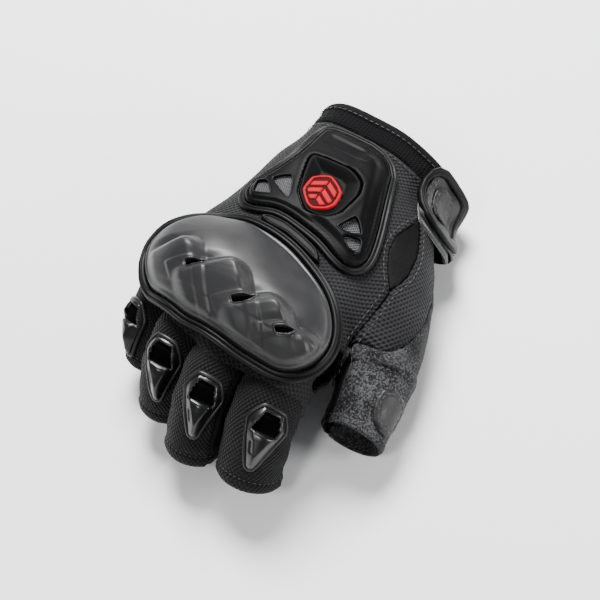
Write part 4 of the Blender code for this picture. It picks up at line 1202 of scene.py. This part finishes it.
# a finger guard's bead in section: distance outside the guard's outline, height
BEAD_SECTION = ((-0.5, 0.0), (-0.5, 1.0), (0.0, 1.7), (0.4, 1.85), (0.9, 1.6), (1.25, 1.0), (1.4, 0.0))
FINGER_LOOKS = {"back": (FINGER_MESH, "air_mesh"), "palm": (SUEDE_PALM, "suede"),
                "side": (STRETCH, "stretch")}
for finger, points in FINGERS.items():
    centre, ahead = root_plane(points, FINGER_ROOT[finger])
    length = np.linalg.norm(np.diff(curve_at(points, np.linspace(0, 1, 30))[:, :3], axis=0), axis=1).sum()
    body = f"{finger}_finger"
    root = FINGER_ROOT[finger]
    left = -116 if finger == "index" else -64
    right = 90 if finger == "little" else 64

    def chart(along, angles, height, finger=finger):
        return finger_chart(finger, along, angles, height)

    def start(angles, root=root, length=length):
        back = (1 + np.cos(np.radians(angles))) / 2
        return root - (3.0 + 6.0 * back) / length

    panels = [("back", "back", left, right), ("palm", "palm", right + 42 if finger != "little" else 90,
                                              left + 318 if finger != "index" else 244)]
    if finger != "index":
        panels.append(("side_thumbward", "side", -106, -64))
    if finger != "little":
        panels.append(("side_littleward", "side", 64, 106))
    uv = tube_uv(points, 13)
    for part, look, first, last in panels:
        columns = max(12, int((last - first) / 3.2))
        bm = tube_panel(chart, first, last, start, 1.0, length, 13, 44, columns, finger_folds)
        face_outwards(bm, centre + ahead * 18)
        cloth_look, slot = FINGER_LOOKS[look]
        piece = put(f"{finger}_{part}_cloth", thickened(bm, FABRIC), cloth_look, None, slot,
                    [f"{finger}_{part}"], cloth=uv)
        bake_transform(piece)

    roll, first, size, lean = FINGER_GUARDS[finger]
    outline = np.array([(-4.2, 0), (4.2, 0), (8.0, 5.5), (1.3, 21), (-1.3, 21), (-8.0, 5.5)]) * size
    outline += np.stack([lean * (outline[:, 1] - 10), np.full(6, first)], axis=1)

    def guard_chart(q, height, finger=finger, roll=roll, length=length, root=root):
        r = curve_at(FINGERS[finger], np.full(len(q), 0.7))[:, 3]
        return finger_chart(finger, root + q[:, 1] / length, roll + np.degrees(q[:, 0] / r), height)

    line = eased(outline, 96, 0.1)

    def scoop_at(p, size=size, first=first, lean=lean):
        y = (p[:, 1] - first) / size
        x = p[:, 0] / size - lean * (y - 10)
        half = 2.6 + 0.26 * y
        return step(half - np.abs(x), -0.3, 0.5) * step(y, 1.1, 1.9) * (1 - step(y, 7.9, 8.7))

    def crown(p, depth, size=size, first=first, lean=lean):
        """Facets rising to a spine, a scoop with a sharp lip near the knuckle and a little slot."""
        y = (p[:, 1] - first) / size
        x = p[:, 0] / size - lean * (y - 10)
        facet = 1.3 + 0.9 * np.minimum(depth, 3.0) - 0.25 * step(depth, 2.6, 3.4)
        spine = 0.9 * np.exp(-((x + 0.5) / 2.4) ** 2) * step(y, 7.6, 9.6)
        slot_in = step(0.7 - np.abs(x - 2.3 + 0.3 * (y - 13)), 0, 0.3) * step(2.2 - np.abs(y - 13.5), 0, 0.5)
        return facet + spine - 2.0 * scoop_at(p) - 0.6 * slot_in + 0.25

    # The scoop's faces take the near-black finish: painted shade in the scoop.
    shell_bm = moulding(guard_chart, shifted(line, -0.2), 0.36, crown, level(0.9),
                        dark=scoop_at)
    put(f"{finger}_guard_shell", shell_bm, GLOSS, body, "gloss_shell", [f"{finger}_guard"], extra=(SLOT_SHADE,))
    grooved = []
    for across, up in BEAD_SECTION:
        ring = shifted(line, across)
        grooved.append(guard_chart(ring, np.full(len(ring), up)))
    put(f"{finger}_guard_bead", loft(grooved, ring=True), RUBBER_EDGE, body, "rubber", [f"{finger}_guard_welt"])

# ---- thumb
centre, ahead = root_plane(THUMB, THUMB_ROOT)
thumb_length = np.linalg.norm(np.diff(curve_at(THUMB, np.linspace(0, 1, 30))[:, :3], axis=0), axis=1).sum()


def thumb_start(angles):
    return np.full(len(angles), THUMB_ROOT - 8.0 / thumb_length)


def thumb_folds(y, angles):
    a = np.radians(angles)
    return 0.3 * np.sin(y / 2.6 + 1.1 * np.sin(a)) + 0.3 * np.sin(y / 5.2 - 1.5 * a)


thumb_cloth = tube_uv(THUMB, 15)
for name, look, slot, replaced, first, last in (
        ("thumb_back_suede", SUEDE_THUMB, "suede", "thumb_back", -120, 41),
        ("thumb_inner_cloth", STRETCH, "stretch", "thumb_inner", 41, 114),
        ("thumb_palm_suede", SUEDE_PALM, "suede", "thumb_palm", 114, 240)):
    bm = tube_panel(thumb_chart, first, last, thumb_start, 0.985, thumb_length, 14.5, 44,
                    int((last - first) / 3.0),
                    thumb_folds)
    face_outwards(bm, centre + ahead * 14)
    piece = put(name, thickened(bm, FABRIC), look, None, slot, [replaced], cloth=thumb_cloth)
    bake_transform(piece)


def thumb_patch_chart(q, height):
    return thumb_chart(THUMB_ROOT + q[:, 1] / thumb_length, q[:, 0] / 14 * 57.3, height)


patch_line = rounded([(-22, 9), (-8, 7.5), (-6, 16), (-10, 24), (-22, 24)], 60, 1)
patch = moulding(thumb_patch_chart, patch_line, 0.7,
                 lambda p, depth: 0.5 + 0.9 * step(depth, 0, 0.8) - 0.3 * ridge(depth, 1.8, 0.4),
                 level(0.1))
put("thumb_patch_leather", patch, LEATHER, "thumb", "leather", ["thumb_patch"])

# ---- wrist strap
ARC = 0.38                       # millimetres of strap to a degree round the wrist


def band_chart(q, height):
    return strap_chart(np.stack([q[:, 0] / ARC, q[:, 1]], axis=1), height)


def strap_outline(first, last, low, high, count=120, soften=2):
    a, b = first * ARC, last * ARC
    corner = 2.2
    line = [(a + corner, low), (b - corner, low), (b, low + corner), (b, high - corner), (b - corner, high),
            (a + corner, high), (a, high - corner), (a, low + corner)]
    return rounded(line, count, soften)


def strap_folds(p):
    lean = p[:, 0] - 0.25 * p[:, 1]
    fine = 0.35 * np.sin(lean / 1.25) * ridge(p[:, 0], 34, 7)
    return fine + 0.25 * np.sin(p[:, 1] / 2.3 + p[:, 0] / 3.1)


def bar_middle(y):
    """Where the stitched bar lies across the strap."""
    return 62.5 * ARC + 0.12 * (y + 15)


def strap_surface(p, depth):
    aside = p[:, 0] - bar_middle(p[:, 1])
    raised_bar = 0.7 * step(1.3 - np.abs(aside), -0.15, 0.15)
    raised_bar = raised_bar * step(p[:, 1], -25, -24) * (1 - step(p[:, 1], -7, -6))
    return 3.0 + 1.1 * step(depth, 0, 1.0) + strap_folds(p) * step(depth, 0.6, 3) + raised_bar


strap_line = strap_outline(56, 125, -30, -1)
strap_bm = moulding(band_chart, strap_line, 0.5, strap_surface, level(2.6))
put("strap_leather_band", strap_bm, STRAP_LEATHER, "strap", "leather", ["strap"])
hook_bm = moulding(band_chart, strap_outline(61, 84, -25, -5, 60, 1), 1.0, level(2.5),
                   level(1.7))
put("strap_hook_patch", hook_bm, HOOKS, "strap", "hook_loop", ["strap_hook"])
tab_line = rounded(TAB, 140, 2)
tab_inside = rounded(TAB_INSIDE, 140, 2)
frame_rings = []
for across, height in ((0.0, 3.1), (0.0, 5.0), (0.12, 5.7), (0.35, 5.9), (0.5, 5.55), (0.65, 5.85), (0.88, 5.6),
                       (1.0, 5.0), (1.0, 3.1)):
    ring = tab_line * (1 - across) + tab_inside * across
    frame_rings.append(strap_chart(ring, np.full(len(ring), height)))
put("strap_frame_rubber", loft(frame_rings, ring=True), RUBBER, "strap", "rubber", ["strap_frame"])
label_line = rounded(LABEL, 80, 1) * (ARC, 1)
label_bm = moulding(band_chart, label_line, 0.5,
                    lambda p, depth: 4.9 + 0.75 * step(depth, 0, 0.6) - 0.4 * ridge(depth, 1.1, 0.3),
                    level(3.6))
put("strap_label_leather", label_bm, LEATHER, "strap", "leather", ["strap_label"])
loop_bm = moulding(band_chart, strap_outline(60, 106, -26, 1, 80, 1), 1.0,
                   level(1.4), level(0.2))
put("strap_loop_patch", loop_bm, HOOKS, "hand", "hook_loop", ["strap_loop"])
base_bm = moulding(band_chart, strap_outline(130, 144, -29, 3, 80, 1), 0.8,
                   lambda p, depth: 1.0 + 0.9 * step(depth, 0, 0.8) - 0.3 * ridge(depth, 1.3, 0.4),
                   level(0.1))
put("strap_base_leather", base_bm, LEATHER, "hand", "leather", ["strap_base"])

# ---- palm side
heel_line = rounded(HEEL, 110)


def heel_surface(p, depth):
    quilt = np.exp(-(np.minimum(np.abs(p[:, 1] - 2), np.abs(p[:, 1] - 20)) / 0.9) ** 2)
    return 1.4 + 2.2 * step(depth, 0, 3.0) - 0.8 * ridge(depth, 1.6, 0.5) - 0.7 * quilt * step(depth, 2, 4)


def heel_chart(q, height):
    p = palm_chart(q, height)
    p[:, 2] = np.maximum(p[:, 2], DATUM.z + 0.9 * np.exp(-((edge_distance(heel_line, q) - 1.6) / 0.5) ** 2))
    return p


heel_bm = moulding(heel_chart, heel_line, 0.9, heel_surface, level(0.1))
heel = put("heel_cushion", heel_bm, LEATHER, "hand", "leather", ["heel_pad"])
palm_patch_line = rounded(PALM_PATCH, 110)
grip_bm = moulding(palm_chart, palm_patch_line, 0.9,
                   lambda p, depth: 0.6 + 1.2 * step(depth, 0, 0.9) - 0.35 * ridge(depth, 1.8, 0.45),
                   level(0.1))
put("palm_grip_leather", grip_bm, LEATHER, "hand", "leather", ["palm_patch"])


# ---- stitching
def dashes(name, runs, body, slot, length=1.9, gap=0.9, radius=0.22, colour=None, blend=None):
    """Thread laid along each run of points: short rounded dashes."""
    bm = bmesh.new()
    for run in runs:
        run = np.asarray(run, float)
        walk = np.concatenate([[0], np.cumsum(np.linalg.norm(np.diff(run, axis=0), axis=1))])
        for at in np.arange(0, walk[-1] - length, length + gap):
            stops = at + length * np.array([0.0, 0.18, 0.5, 0.82, 1.0])
            spots = np.stack([np.interp(stops, walk, run[:, k]) for k in range(3)], axis=1)
            lean = Vector(spots[-1] - spots[0]).normalized()
            side = lean.orthogonal().normalized()
            other = lean.cross(side)
            rings = []
            for spot, wide in zip(spots, (0.25, 0.85, 1.0, 0.85, 0.25)):
                rings.append([bm.verts.new(Vector(spot)
                                           + (side * math.cos(a) + other * math.sin(a)) * radius * wide)
                              for a in np.linspace(0, 2 * math.pi, 7)[:-1]])
            for low, high in zip(rings, rings[1:]):
                for i in range(6):
                    bm.faces.new((low[i], low[(i + 1) % 6], high[(i + 1) % 6], high[i]))
            bm.faces.new(rings[0][::-1])
            bm.faces.new(rings[-1])
    piece = put(name, bm, colour or THREAD, body, slot, merge=False)
    if blend:
        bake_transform(piece)
    return piece


def closed_line(line):
    return np.vstack([line, line[:1]])


def cloth_line(s, y, height):
    """Points on the back of the hand's cloth at fan position s and length y."""
    angle = np.asarray(s, float) / 60
    ray = np.stack([np.sin(angle), np.zeros(len(s)), np.cos(angle)], axis=1)
    begin = np.stack([np.zeros(len(s)), np.asarray(y, float), np.full(len(s), -22.0)], axis=1) + ray * 40
    reach = cast(hand_distance, begin, ray, 0, 60)
    return raised(hand_distance, begin + ray * reach[:, None], ray, np.full(len(s), float(height)))


RUN_POINTS = 160                 # points along a stitched line
RIM_POINTS = 240                 # points round the wrist
along_y = np.linspace(-18, 76, RUN_POINTS)
beside_leaf = np.maximum(leaf_width(along_y), 0) + 1.7
hand_runs = []
for side in (-1, 1):
    hand_runs.append(cloth_line(web_seam_at(along_y) + side * beside_leaf, along_y, 0.15))
dashes("hand_stitching", hand_runs, "hand", "air_mesh")
rim_turn = np.linspace(0, 360, RIM_POINTS)
knit_y = np.full(RIM_POINTS, CUFF_KNIT + 1.6)


def wrist_line(degrees, y, height):
    return wrist_chart(np.stack([degrees, y], axis=1), np.full(len(degrees), float(height)))


dashes("cuff_stitching", [wrist_line(rim_turn, knit_y, 0.3),
                          wrist_line(rim_turn, np.full(RIM_POINTS, CUFF_END + 3.4), 0.9)],
       "hand", "knit")
strap_runs = [band_chart(closed_line(shifted(label_line, -1.1)), np.full(81, 5.4)),
              band_chart(closed_line(shifted(strap_line, -1.6)), np.full(121, 4.15))]
for side in (-0.85, 0.85):
    y = np.linspace(-24, -7, 60)
    x = bar_middle(y) + side
    strap_runs.append(band_chart(np.stack([x, y], axis=1), np.full(60, 4.9)))
dashes("strap_stitching", strap_runs, "strap", "leather")
dashes("palm_stitching", [palm_chart(closed_line(shifted(palm_patch_line, -1.8)), np.full(111, 1.6)),
                          palm_chart(closed_line(shifted(heel_line, -1.6)), np.full(111, 1.4))],
       "hand", "leather")
dashes("thumb_stitching", [thumb_patch_chart(closed_line(shifted(patch_line, -1.8)), np.full(61, 1.3)),
                           thumb_chart(np.full(RUN_POINTS, 0.985 - 3.4 / thumb_length),
                                       np.linspace(-118, 236, RUN_POINTS), np.full(RUN_POINTS, 0.25))],
       "thumb", "leather")
for finger, points in FINGERS.items():
    length = np.linalg.norm(np.diff(curve_at(points, np.linspace(0, 1, 30))[:, :3], axis=0), axis=1).sum()
    turn = np.linspace(-90, 268, RUN_POINTS)
    rows = [finger_chart(finger, np.full(RUN_POINTS, 1 - past / length), turn, np.full(RUN_POINTS, up))
            for past, up in ((4.0, 0.1), (2.2, 0.3))]
    dashes(f"{finger}_stitching", rows, f"{finger}_finger", "air_mesh", length=1.3, gap=0.8, radius=0.15)

# ---------------------------------------------------------------- floor, light and camera
bm = bmesh.new()
bmesh.ops.create_grid(bm, x_segments=1, y_segments=1, size=6.0)
mesh = bpy.data.meshes.new("floor")
bm.to_mesh(mesh)
bm.free()
floor = bpy.data.objects.new("floor", mesh)
floor_look = Look("floor_paper", (0.93, 0.93, 0.93), 0.85, specular=0.2)
grain = floor_look.noise(floor_look.place(), 300, 3)
floor_look.paint(floor_look.mix(grain, (0.92, 0.92, 0.92), (0.94, 0.94, 0.94)))
mesh.materials.append(floor_look.material)
bpy.context.scene.collection.objects.link(floor)
floor.location = (0, 0, 0)

world = bpy.data.worlds.new("studio")
world.use_nodes = True
world.node_tree.nodes["Background"].inputs["Color"].default_value = (0.95, 0.96, 1.0, 1)
world.node_tree.nodes["Background"].inputs["Strength"].default_value = 0.3
bpy.context.scene.world = world


def area_light(name, where, target, size, power):
    data = bpy.data.lights.new(name, "AREA")
    data.shape = "DISK"
    data.size = size
    data.energy = power
    lamp = bpy.data.objects.new(name, data)
    lamp.location = where
    lamp.rotation_euler = (Vector(target) - Vector(where)).to_track_quat("-Z", "Y").to_euler()
    bpy.context.scene.collection.objects.link(lamp)


area_light("key_light", (0.36, -0.46, 0.95), (0, 0.05, 0.03), 0.6, 42)
area_light("edge_light", (-0.85, -0.2, 0.35), (0, 0.05, 0.03), 0.3, 6)
area_light("fill_light", (-0.1, 0.7, 0.9), (0, 0.05, 0.03), 0.25, 5)

AIM = Vector((-0.0163, 0.0492, 0.0369))   # the point the camera looks at, in metres
CAMERA_DISTANCE = 0.811
right = Vector((-0.807, -0.5795, -0.1135)).normalized()
down = Vector((-0.436, 0.715, -0.547))
down = (down - right * right.dot(down)).normalized()
ahead_view = right.cross(down)
camera_data = bpy.data.cameras.new("camera")
camera_data.lens = 120
camera_data.sensor_width = 36
camera = bpy.data.objects.new("camera", camera_data)
camera.matrix_world = Matrix.Translation(AIM - ahead_view * CAMERA_DISTANCE) @ Matrix((
    (right.x, -down.x, -ahead_view.x),
    (right.y, -down.y, -ahead_view.y),
    (right.z, -down.z, -ahead_view.z))).to_4x4()
bpy.context.scene.collection.objects.link(camera)
bpy.context.scene.camera = camera
